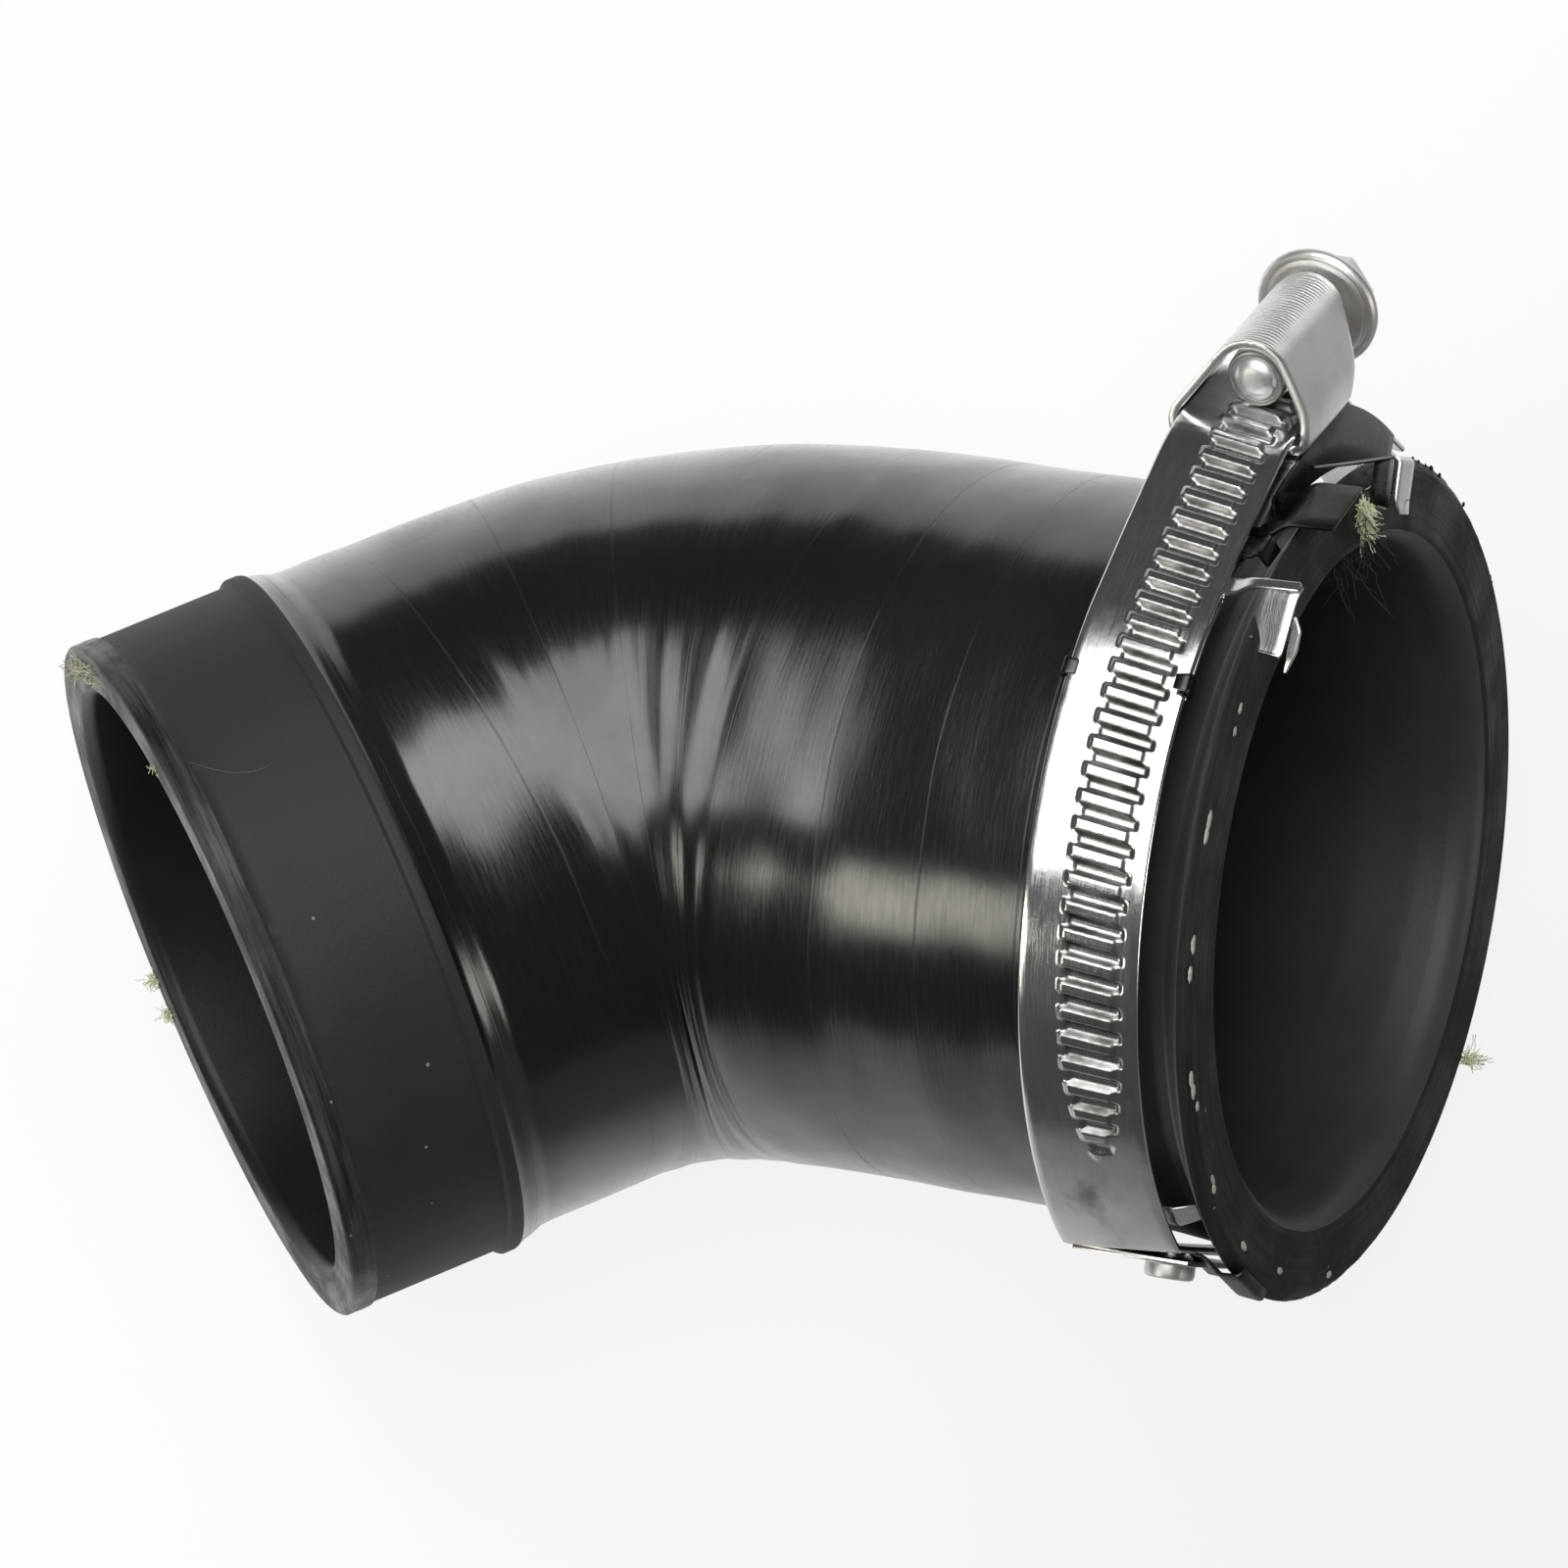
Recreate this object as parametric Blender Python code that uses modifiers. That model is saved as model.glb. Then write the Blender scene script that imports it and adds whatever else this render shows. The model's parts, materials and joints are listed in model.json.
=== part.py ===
"""Moulded turbo hose elbow with a loose worm-drive clamp on its flared mouth.

Lengths below are millimetres and angles are degrees. Everything is first placed in the
hose's own frame: the origin is where the axes of the two legs cross, +X runs out of the
flared mouth, +Z is square to both legs, and the cuff leg turns away to -X and -Y. An empty
then lays the whole hose on the floor, in the pose that it comes to rest in.
"""

import math

import bmesh
import bpy
import numpy as np
from mathutils import Matrix, Vector

MM = 0.001
COLLECTION_NAME = "turbo_hose"
GAP = 0.3  # clearance left between pieces that touch

# Hose
BEND_ANGLE = 45.7
MOUTH_LENGTH = 70.7  # from the crossing of the axes to the mouth's cut face
CUFF_LENGTH = 52.7  # from the crossing of the axes to the cuff's cut face
CUFF_RADIUS = 35.3
CUFF_RING_WIDTH = 2.4  # ground ring at the end of the cuff
CUFF_RING_HEIGHT = 0.25
CUFF_WIDTH = 14.4
LIP_HEIGHT = 0.6
LIP_WIDTH = 1.4
CUFF_BODY_RADIUS = 34.6  # body next to the cuff
BODY_RADIUS = 35.9  # body next to the clamp
INNER_BEND_RADIUS = 5.5
OUTER_BEND_RADIUS = 92.0
WALL = 4.9
MOUTH_RISE = 5.4  # from the body to the outside of the mouth
MOUTH_CHAMFER = 1.0
FLARE_LENGTH = 3.5  # from the seat under the clamp to the edge of the mouth
SEAT_RISE = 1.1  # how far the seat under the clamp has widened where the flare starts
SEAT_LENGTH = 14.0
MOUTH_WALL = 7.0  # at the mouth's cut face
MOUTH_BORE_LENGTH = 20.0
HOSE_SEGMENTS = 48
BEND_STEPS = 11

# Clamp band
BAND_MARGIN = 0.1  # from the band's second edge to the start of the flare
BAND_WIDTH = 12.0
BAND_THICKNESS = 0.7
RING_SLACK = 6.5  # from the body to the centre of the band's thickness, as the clamp hangs loose
FLAT_ANGLE = -135.0  # where the flat side of the ring faces, from +Z towards +Y
TAIL_ANGLE = 56.0  # where the free end of the toothed tail lies
TAIL_LIFT = 1.8  # how far the tail springs off the strip below it
TAKE_OFF_ANGLE = -13.0  # where the toothed strip leaves the round of the ring
LANDING_ANGLE = 62.0  # where the strip comes back to the round behind the housing
ARC_STEP = 6.0

# Worm screw and housing, along the screw's direction and away from the ring's centre
SCREW_ANGLE = 13.6  # turn of the screw's axis from +Y towards -Z
STRIP_LIFT = 4.15  # of the toothed strip under the screw, above the round of the ring
SCREW_OFFSET = 7.0  # from the band's first edge
SCREW_TIP = 5.2
SCREW_RADIUS = 3.1
SCREW_DOME_RADIUS = 2.3
SCREW_DOME_HEIGHT = 0.8
FLANGE_RIM = 1.75  # how far the flange stands out over the roof
FLANGE_THICKNESS = 1.5
HEX_ACROSS_FLATS = 7.0
HEX_HEIGHT = 4.2
SHEET = 0.9  # housing sheet
SCREW_PLAY = 0.5  # between the screw and the tunnel over it
FRONT_FOOT = 3.4
REAR_FOOT = 14.0
ROOF_LENGTH = 15.6
SHOULDER_HEIGHT = 2.0  # from the screw's axis down to the steep leg

# Retainers
LINER_THICKNESS = 0.5
LINER_START_ANGLE = -24.5
LINER_END_ANGLE = 52.0
EAR_ANGLE = -22.8
EAR_LENGTH = 2.3  # along the ring
EAR_REACH = 1.6  # over the face of the band
HOOK_WIDTH = 2.2
EAR_THICKNESS = 0.4
NEAR_HOOK_SHARE = 0.2  # of the way from the round liner to the housing
NEAR_HOOK_REACH = 3.4  # past the mouth's cut face
NEAR_TONGUE_LENGTH = 5.2
NEAR_TONGUE_DROP = 3.6
FAR_HOOK_PLACE = 11.0  # along the screw
FAR_HOOK_REACH = 3.2
FAR_HOOK_FALL = 2.6  # of its arm, towards the mouth
FAR_HOOK_DROP = 5.0
APRON_SHARES = (0.45, 0.92)  # of the way from the round liner to the housing
APRON_OVERHANG = 0.1  # short of the mouth's cut face
BAR_LENGTH = 17.0
BAR_SHIFT = 8.5  # from the middle of the flat, towards the toothed side
BAR_HOOK_SHIFT = 11.0
BAR_HOOK_WIDTH = 6.0
BAR_HOOK_DROP = 4.6
RIVET_HEAD_RADIUS = 2.6
RIVET_HEAD_HEIGHT = 1.5
RIVET_SHANK_RADIUS = 1.3
RIVET_SHIFT = 6.0

# Weights for the resting pose, in kg per cubic metre
RUBBER_DENSITY = 1150.0
STEEL_DENSITY = 7850.0

# Values that follow from the sizes above
MOUTH_EDGE = MOUTH_LENGTH - MOUTH_CHAMFER
BAND_END = MOUTH_EDGE - FLARE_LENGTH - BAND_MARGIN
BAND_START = BAND_END - BAND_WIDTH
RING_CENTRE_X = (BAND_START + BAND_END) / 2
HALF_BEND = math.radians(BEND_ANGLE) / 2
MOUTH_RADIUS = BODY_RADIUS + MOUTH_RISE
MOUTH_BORE_RADIUS = MOUTH_RADIUS - MOUTH_WALL
RING_RADIUS = BODY_RADIUS + RING_SLACK
STRIP_HEIGHT = RING_RADIUS + STRIP_LIFT
SCREW_HEIGHT = STRIP_HEIGHT + BAND_THICKNESS / 2 + GAP + SCREW_RADIUS
ROOF_RADIUS = SCREW_RADIUS + SCREW_PLAY + SHEET
FLANGE_RADIUS = ROOF_RADIUS + FLANGE_RIM
FIXED_HEIGHT = STRIP_HEIGHT - BAND_THICKNESS - GAP
BASE_HEIGHT = FIXED_HEIGHT - BAND_THICKNESS / 2 - GAP - SHEET / 2
LINER_HEIGHT = BASE_HEIGHT - SHEET / 2 - GAP - LINER_THICKNESS / 2
ROOF_END = SCREW_TIP + ROOF_LENGTH
FLANGE_START = ROOF_END + GAP
SEAT_END_RADIUS = BODY_RADIUS + SEAT_RISE
FLAT_DISTANCE = SEAT_END_RADIUS + GAP + BAND_THICKNESS / 2
BAR_DISTANCE = FLAT_DISTANCE + BAND_THICKNESS / 2 + GAP + LINER_THICKNESS / 2
LINER_RADIUS = RING_RADIUS - BAND_THICKNESS / 2 - GAP - LINER_THICKNESS / 2
TAIL_RADIUS = RING_RADIUS + BAND_THICKNESS + GAP
UNDER_FRONT = FRONT_FOOT - 1.5
UNDER_REAR = REAR_FOOT + 0.6
CUFF_WAY = Vector((-math.cos(2 * HALF_BEND), -math.sin(2 * HALF_BEND), 0.0))
CUFF_OUT = Vector((-math.sin(2 * HALF_BEND), math.cos(2 * HALF_BEND), 0.0))
MOUTH_WAY = Vector((1.0, 0.0, 0.0))
MOUTH_OUT = Vector((0.0, 1.0, 0.0))
RING_PLANE = Matrix(((0, 0, 1, 0), (1, 0, 0, 0), (0, 1, 0, 0), (0, 0, 0, 1)))


def make_material(name: str, color: tuple, roughness: float, metallic: float) -> bpy.types.Material:
    """Return a Principled material."""
    material = bpy.data.materials.new(name)
    material.use_nodes = True
    shader = material.node_tree.nodes["Principled BSDF"]
    shader.inputs["Base Color"].default_value = (*color, 1.0)
    shader.inputs["Roughness"].default_value = roughness
    shader.inputs["Metallic"].default_value = metallic
    material.diffuse_color = (*color, 1.0)
    return material


def radial(angle: float, radius: float) -> Vector:
    """Return the point at an angle from +Z towards +Y in the plane of the ring, in mm."""
    turn = math.radians(angle)
    return Vector((0.0, radius * math.sin(turn), radius * math.cos(turn)))


def along_screw(distance: float, height: float) -> Vector:
    """Return the point at a distance along the screw and a height from the ring's centre."""
    turn = math.radians(SCREW_ANGLE)
    direction = Vector((0.0, math.cos(turn), -math.sin(turn)))
    outward = Vector((0.0, math.sin(turn), math.cos(turn)))
    return direction * distance + outward * height


def arc(radius: float, start: float, end: float) -> list:
    """Return the points of an arc of the ring from one angle to another."""
    steps = max(1, round(abs(end - start) / ARC_STEP))
    return [radial(start + (end - start) * k / steps, radius) for k in range(steps + 1)]


def finish(mesh: bpy.types.Mesh, name: str, material: bpy.types.Material) -> bpy.types.Object:
    """Put a mesh in the scene as one sub-part, with its faces pointing outwards."""
    edit = bmesh.new()
    edit.from_mesh(mesh)
    bmesh.ops.remove_doubles(edit, verts=edit.verts, dist=0.00001)
    bmesh.ops.recalc_face_normals(edit, faces=edit.faces)
    edit.to_mesh(mesh)
    edit.free()
    mesh.materials.clear()
    mesh.materials.append(material)
    mesh.shade_smooth()
    mesh.set_sharp_from_angle(angle=math.radians(35))
    item = bpy.data.objects.new(name, mesh)
    parts.objects.link(item)
    return item


def join_rings(rings: list, name: str) -> bpy.types.Mesh:
    """Return a closed tube mesh whose rings follow each other and end where they began."""
    edit = bmesh.new()
    loops = [[edit.verts.new(point * MM) for point in ring] for ring in rings]
    count = len(loops[0])
    for one, other in zip(loops, loops[1:] + loops[:1]):
        for k in range(count):
            after = (k + 1) % count
            edit.faces.new((one[k], one[after], other[after], other[k]))
    mesh = bpy.data.meshes.new(name)
    edit.to_mesh(mesh)
    edit.free()
    return mesh


def outline_mesh(points: list, depth: float, name: str) -> bpy.types.Mesh:
    """Return a flat outline, given in its own x and y, extruded by a depth about z = 0."""
    curve = bpy.data.curves.new(name, "CURVE")
    curve.dimensions = "2D"
    curve.fill_mode = "BOTH"
    curve.extrude = depth / 2 * MM
    spline = curve.splines.new("POLY")
    spline.points.add(len(points) - 1)
    for point, (x, y) in zip(spline.points, points):
        point.co = (x * MM, y * MM, 0.0, 1.0)
    spline.use_cyclic_u = True
    holder = bpy.data.objects.new(name, curve)
    bpy.context.scene.collection.objects.link(holder)
    bpy.context.view_layer.update()
    evaluated = holder.evaluated_get(bpy.context.evaluated_depsgraph_get())
    mesh = bpy.data.meshes.new_from_object(evaluated)
    bpy.data.objects.remove(holder)
    bpy.data.curves.remove(curve)
    return mesh


def thicken(path: list, thickness: float) -> list:
    """Return the outline of a sheet of one thickness that follows a flat path, mitred."""
    near = []
    far = []
    for k, point in enumerate(path):
        before = (point - path[k - 1]).normalized() if k else (path[1] - point).normalized()
        after = (path[k + 1] - point).normalized() if k + 1 < len(path) else before
        side = Vector((-(before + after).y, (before + after).x)).normalized()
        mitre = side.dot(Vector((-before.y, before.x)))
        near.append(point + side * thickness / 2 / mitre)
        far.append(point - side * thickness / 2 / mitre)
    return [*near, *reversed(far)]


def strip_mesh(path: list, thickness: float, name: str) -> bpy.types.Mesh:
    """Return a strip as wide as the band, whose path lies in the plane of the ring."""
    outline = thicken([Vector((point.y, point.z)) for point in path], thickness)
    mesh = outline_mesh(outline, BAND_WIDTH, name)
    mesh.transform(Matrix.Translation((RING_CENTRE_X * MM, 0.0, 0.0)) @ RING_PLANE)
    return mesh


def folded_mesh(path: list, thickness: float, width: float, place: Matrix, name: str) -> bpy.types.Mesh:
    """Return a folded sheet: a path in the x and z of a place, as wide as asked along its y."""
    outline = thicken([Vector(point) for point in path], thickness)
    mesh = outline_mesh(outline, width, name)
    scaled = place.copy()
    scaled.translation = place.translation * MM
    mesh.transform(scaled @ Matrix.Rotation(math.radians(90), 4, "X"))
    return mesh


def ring_place(angle: float, radius: float, x: float) -> Matrix:
    """Return the frame at a place on the ring: x across, y along and z away from its centre."""
    turn = Matrix.Rotation(math.radians(-angle), 4, "X")
    return Matrix.Translation(radial(angle, radius) + Vector((x, 0.0, 0.0))) @ turn


def strip_place(start: Vector, end: Vector, share: float) -> Matrix:
    """Return the frame at a share of a straight stretch of strip, with its y along it."""
    along = end - start
    turn = Matrix.Rotation(math.atan2(along.z, along.y), 4, "X")
    middle = start.lerp(end, share) + Vector((RING_CENTRE_X, 0.0, 0.0))
    return Matrix.Translation(middle) @ turn


def combine(item: bpy.types.Object, tool: bpy.types.Mesh, operation: str) -> None:
    """Join another mesh to a sub-part, or cut it out."""
    edit = bmesh.new()
    edit.from_mesh(tool)
    bmesh.ops.remove_doubles(edit, verts=edit.verts, dist=0.00001)
    bmesh.ops.recalc_face_normals(edit, faces=edit.faces)
    edit.to_mesh(tool)
    edit.free()
    cutter = bpy.data.objects.new(f"{item.name}_{tool.name}", tool)
    cutter.hide_render = True
    cutter.display_type = "WIRE"
    cutters.objects.link(cutter)
    modifier = item.modifiers.new(tool.name, "BOOLEAN")
    modifier.operation = operation
    modifier.object = cutter


def leg_ring(direction: Vector, outward: Vector, inner: float, outer: float, radius: float) -> list:
    """Return a ring of the tube, cut so that its two sides lie at two places along a leg."""
    inside = direction * inner - outward * radius
    outside = direction * outer + outward * radius
    return oval(inside, outside, radius)


def oval(inside: Vector, outside: Vector, height: float) -> list:
    """Return the ellipse through two points of the bend's plane, with a height along Z."""
    middle = (inside + outside) / 2
    reach = (outside - inside) / 2
    ring = []
    for k in range(HOSE_SEGMENTS):
        turn = 2 * math.pi * k / HOSE_SEGMENTS
        ring.append(middle + reach * math.cos(turn) + Vector((0.0, 0.0, height * math.sin(turn))))
    return ring


def bend_rings(cuff_radius: float, body_radius: float, inset: float) -> list:
    """Return the tube's rings through the bend, from the cuff leg to the mouth leg."""
    inner_bend = INNER_BEND_RADIUS + inset
    outer_bend = OUTER_BEND_RADIUS - inset
    slope = math.tan(HALF_BEND)
    legs = ((CUFF_WAY, CUFF_OUT, cuff_radius), (MOUTH_WAY, MOUTH_OUT, body_radius))
    centres = []
    for way, out, radius in legs:
        inner = way * (radius + inner_bend) * slope - out * (radius + inner_bend)
        outer = way * (outer_bend - radius) * slope - out * (outer_bend - radius)
        centres.append((inner, outer))
    rings = []
    turn = 2 * HALF_BEND
    for k in range(BEND_STEPS + 1):
        share = k / BEND_STEPS
        out = CUFF_OUT * math.sin(turn * (1 - share)) + MOUTH_OUT * math.sin(turn * share)
        out /= math.sin(turn)
        inside = centres[0][0].lerp(centres[1][0], share) + out * inner_bend
        outside = centres[0][1].lerp(centres[1][1], share) + out * outer_bend
        rings.append(oval(inside, outside, cuff_radius * (1 - share) + body_radius * share))
    return rings


def make_hose() -> None:
    """Model the hose: ground end, cuff, lip, bend, seat and flared mouth, and the bore."""
    lip_place = CUFF_LENGTH - CUFF_RING_WIDTH - CUFF_WIDTH
    lip_end = lip_place - LIP_WIDTH
    ring_radius = CUFF_RADIUS + CUFF_RING_HEIGHT
    ring_end = CUFF_LENGTH - CUFF_RING_WIDTH
    cuff = [
        (CUFF_LENGTH, ring_radius - 0.3),
        (CUFF_LENGTH - 0.4, ring_radius),
        (ring_end, ring_radius),
        (ring_end - 0.3, CUFF_RADIUS),
        (lip_place + 0.1, CUFF_RADIUS),
        (lip_place, CUFF_RADIUS + LIP_HEIGHT),
        (lip_end, CUFF_RADIUS + LIP_HEIGHT),
        (lip_end - 2.5, CUFF_BODY_RADIUS + 0.2),
        (lip_end - 5.0, CUFF_BODY_RADIUS),
    ]
    flare_start = MOUTH_EDGE - FLARE_LENGTH
    seat_start = flare_start - SEAT_LENGTH
    flare_rise = MOUTH_RADIUS - SEAT_END_RADIUS
    mouth = [
        (seat_start - 6.0, BODY_RADIUS),
        (seat_start, BODY_RADIUS),
        (seat_start + SEAT_LENGTH * 0.5, BODY_RADIUS + SEAT_RISE * 0.35),
        (flare_start, SEAT_END_RADIUS),
        (flare_start + FLARE_LENGTH * 0.4, SEAT_END_RADIUS + flare_rise * 0.3),
        (flare_start + FLARE_LENGTH * 0.7, SEAT_END_RADIUS + flare_rise * 0.72),
        (MOUTH_EDGE - FLARE_LENGTH * 0.08, MOUTH_RADIUS),
        (MOUTH_EDGE, MOUTH_RADIUS),
        (MOUTH_LENGTH, MOUTH_RADIUS - MOUTH_CHAMFER),
    ]
    bore = BODY_RADIUS - WALL
    bore_rise = MOUTH_BORE_RADIUS - bore
    mouth_bore = [
        (MOUTH_LENGTH, MOUTH_BORE_RADIUS),
        (MOUTH_LENGTH - MOUTH_CHAMFER, MOUTH_BORE_RADIUS - bore_rise * 0.3),
        (MOUTH_LENGTH - MOUTH_BORE_LENGTH * 0.3, bore + bore_rise * 0.3),
        (MOUTH_LENGTH - MOUTH_BORE_LENGTH, bore),
    ]
    cuff_bore = [
        (lip_end - 5.0, CUFF_BODY_RADIUS - WALL),
        (lip_place, CUFF_RADIUS - WALL),
        (CUFF_LENGTH, CUFF_RADIUS - WALL),
    ]
    rings = [leg_ring(CUFF_WAY, CUFF_OUT, place, place, radius) for place, radius in cuff]
    rings += bend_rings(CUFF_BODY_RADIUS, BODY_RADIUS, 0.0)
    rings += [leg_ring(MOUTH_WAY, MOUTH_OUT, place, place, radius) for place, radius in mouth]
    rings += [leg_ring(MOUTH_WAY, MOUTH_OUT, place, place, radius) for place, radius in mouth_bore]
    rings += reversed(bend_rings(CUFF_BODY_RADIUS - WALL, bore, WALL))
    rings += [leg_ring(CUFF_WAY, CUFF_OUT, place, place, radius) for place, radius in cuff_bore]
    finish(join_rings(rings, "hose"), "hose", rubber)


def make_band() -> None:
    """Model the band: one strip, with its fixed end under its toothed tail at the housing."""
    half_flat = math.degrees(math.acos(FLAT_DISTANCE / RING_RADIUS))
    take_off = radial(TAKE_OFF_ANGLE, RING_RADIUS)
    tail_front = along_screw(UNDER_FRONT, STRIP_HEIGHT)
    tail_rear = along_screw(UNDER_REAR, STRIP_HEIGHT)
    tail_landing = radial(TAIL_ANGLE - 8.0, TAIL_RADIUS + TAIL_LIFT)
    fixed_rear = along_screw(UNDER_REAR, FIXED_HEIGHT)
    landing = radial(LANDING_ANGLE, RING_RADIUS)
    path = [radial(TAIL_ANGLE, TAIL_RADIUS + TAIL_LIFT * 0.5), tail_landing]
    path += [tail_landing.lerp(tail_rear, 0.5) * 1.02, tail_rear, tail_front]
    path += [tail_front.lerp(take_off, 0.5) * 1.004]
    path += arc(RING_RADIUS, TAKE_OFF_ANGLE, FLAT_ANGLE + half_flat)
    path += arc(RING_RADIUS, FLAT_ANGLE - half_flat, LANDING_ANGLE - 360.0)
    path += [landing.lerp(fixed_rear, 0.5) * 1.02, fixed_rear, along_screw(UNDER_FRONT, FIXED_HEIGHT)]
    band = finish(strip_mesh(path, BAND_THICKNESS, "clamp_band"), "clamp_band", polished_steel)
    combine(band, rivet_hole(), "DIFFERENCE")


def rivet_hole() -> bpy.types.Mesh:
    """Return the drill for the rivet, through the flat side of the band and its bar."""
    radius = RIVET_SHANK_RADIUS + GAP
    edit = bmesh.new()
    bmesh.ops.create_cone(edit, cap_ends=True, segments=16, radius1=radius, radius2=radius, depth=6.0)
    bmesh.ops.transform(edit, matrix=Matrix.Scale(MM, 4) @ rivet_place(), verts=edit.verts)
    mesh = bpy.data.meshes.new("rivet_hole")
    edit.to_mesh(mesh)
    edit.free()
    return mesh


def rivet_place() -> Matrix:
    """Return the frame of the rivet on the flat side of the ring, with z away from the hose."""
    flat = ring_place(FLAT_ANGLE, FLAT_DISTANCE, RING_CENTRE_X)
    return flat @ Matrix.Translation((0.0, RIVET_SHIFT, 0.0))


def housing_outline(grow: float) -> list:
    """Return the housing's cross-section, from the band's first edge and the ring's centre."""
    side = GAP + grow
    low = BASE_HEIGHT + SHEET / 2 - grow
    shoulder = STRIP_HEIGHT + BAND_THICKNESS / 2 - grow * 0.6
    roof = ROOF_RADIUS - SHEET + grow
    outline = [(-side, low), (-side, shoulder)]
    for angle in range(135, -1, -15):
        turn = math.radians(angle)
        outline.append((SCREW_OFFSET + roof * math.cos(turn), SCREW_HEIGHT + roof * math.sin(turn)))
    outline.append((BAND_WIDTH + side, SCREW_HEIGHT - SHOULDER_HEIGHT))
    outline.append((BAND_WIDTH + side, low))
    return outline


def housing_mesh(grow: float, overrun: float, name: str) -> bpy.types.Mesh:
    """Return the housing's outside, or the hollow through it, with its two slanted ends."""
    mesh = outline_mesh(housing_outline(grow), BAND_WIDTH, name)
    foot = BASE_HEIGHT
    tall = SCREW_HEIGHT + ROOF_RADIUS - foot
    for vertex in mesh.vertices:
        across, height, side = vertex.co / MM
        share = (height - foot) / tall
        front = FRONT_FOOT + (SCREW_TIP - FRONT_FOOT) * share - overrun
        rear = REAR_FOOT + (ROOF_END - REAR_FOOT) * share + overrun
        point = along_screw(rear if side > 0 else front, height)
        vertex.co = Vector((BAND_START + across, point.y, point.z)) * MM
    return mesh


def make_housing() -> None:
    """Model the housing: folded sheet over the screw, closed under the fixed strip end."""
    housing = finish(housing_mesh(SHEET, 0.0, "worm_housing"), "worm_housing", satin_steel)
    combine(housing, housing_mesh(0.0, 5.0, "hollow"), "DIFFERENCE")


def turn_profile(profile: list, steps: int, name: str, material: bpy.types.Material) -> bpy.types.Object:
    """Return a turned sub-part from its half profile, given as radii and heights, top first."""
    edit = bmesh.new()
    chain = [edit.verts.new((radius * MM, 0.0, height * MM)) for radius, height in profile]
    for one, other in zip(chain, chain[1:]):
        edit.edges.new((one, other))
    mesh = bpy.data.meshes.new(name)
    edit.to_mesh(mesh)
    edit.free()
    mesh.materials.append(material)
    item = bpy.data.objects.new(name, mesh)
    parts.objects.link(item)
    turned = item.modifiers.new("turned", "SCREW")
    turned.steps = steps
    turned.render_steps = steps
    turned.use_merge_vertices = True
    turned.merge_threshold = 0.00001
    turned.use_smooth_shade = False
    return item


def make_screw() -> None:
    """Model the screw: domed tip, plain thread core, flange and hexagon head."""
    flange_start = FLANGE_START - SCREW_TIP
    flange_end = flange_start + FLANGE_THICKNESS
    head_end = flange_end + HEX_HEIGHT
    core = HEX_ACROSS_FLATS / 2 - 0.6
    profile = [
        (0.0, head_end - 0.4),
        (core, head_end - 0.4),
        (core, flange_end),
        (FLANGE_RADIUS - 0.5, flange_end),
        (FLANGE_RADIUS, flange_end - FLANGE_THICKNESS * 0.4),
        (FLANGE_RADIUS - 0.4, flange_start),
        (SCREW_RADIUS, flange_start),
        (SCREW_RADIUS, SCREW_DOME_HEIGHT + 0.3),
        (SCREW_RADIUS - 0.3, SCREW_DOME_HEIGHT),
        (SCREW_DOME_RADIUS, SCREW_DOME_HEIGHT),
        (SCREW_DOME_RADIUS * 0.75, SCREW_DOME_HEIGHT * 0.45),
        (SCREW_DOME_RADIUS * 0.4, SCREW_DOME_HEIGHT * 0.1),
        (0.0, 0.0),
    ]
    screw = turn_profile(profile, 32, "worm_screw", satin_steel)
    corner = HEX_ACROSS_FLATS / 2 / math.cos(math.pi / 6) * MM
    height = HEX_HEIGHT + FLANGE_THICKNESS * 0.3
    hexagon = bpy.data.meshes.new("hexagon")
    edit = bmesh.new()
    bmesh.ops.create_cone(edit, cap_ends=True, segments=6, radius1=corner, radius2=corner,
                          depth=height * MM)
    bmesh.ops.translate(edit, vec=(0.0, 0.0, (head_end - height / 2) * MM), verts=edit.verts)
    edit.to_mesh(hexagon)
    edit.free()
    combine(screw, hexagon, "UNION")
    tip = along_screw(SCREW_TIP, SCREW_HEIGHT) + Vector((BAND_START + SCREW_OFFSET, 0.0, 0.0))
    for item in (screw, cutters.objects["worm_screw_hexagon"]):
        item.location = tip * MM
        item.rotation_euler = (-math.radians(90 + SCREW_ANGLE), 0.0, 0.0)


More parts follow.
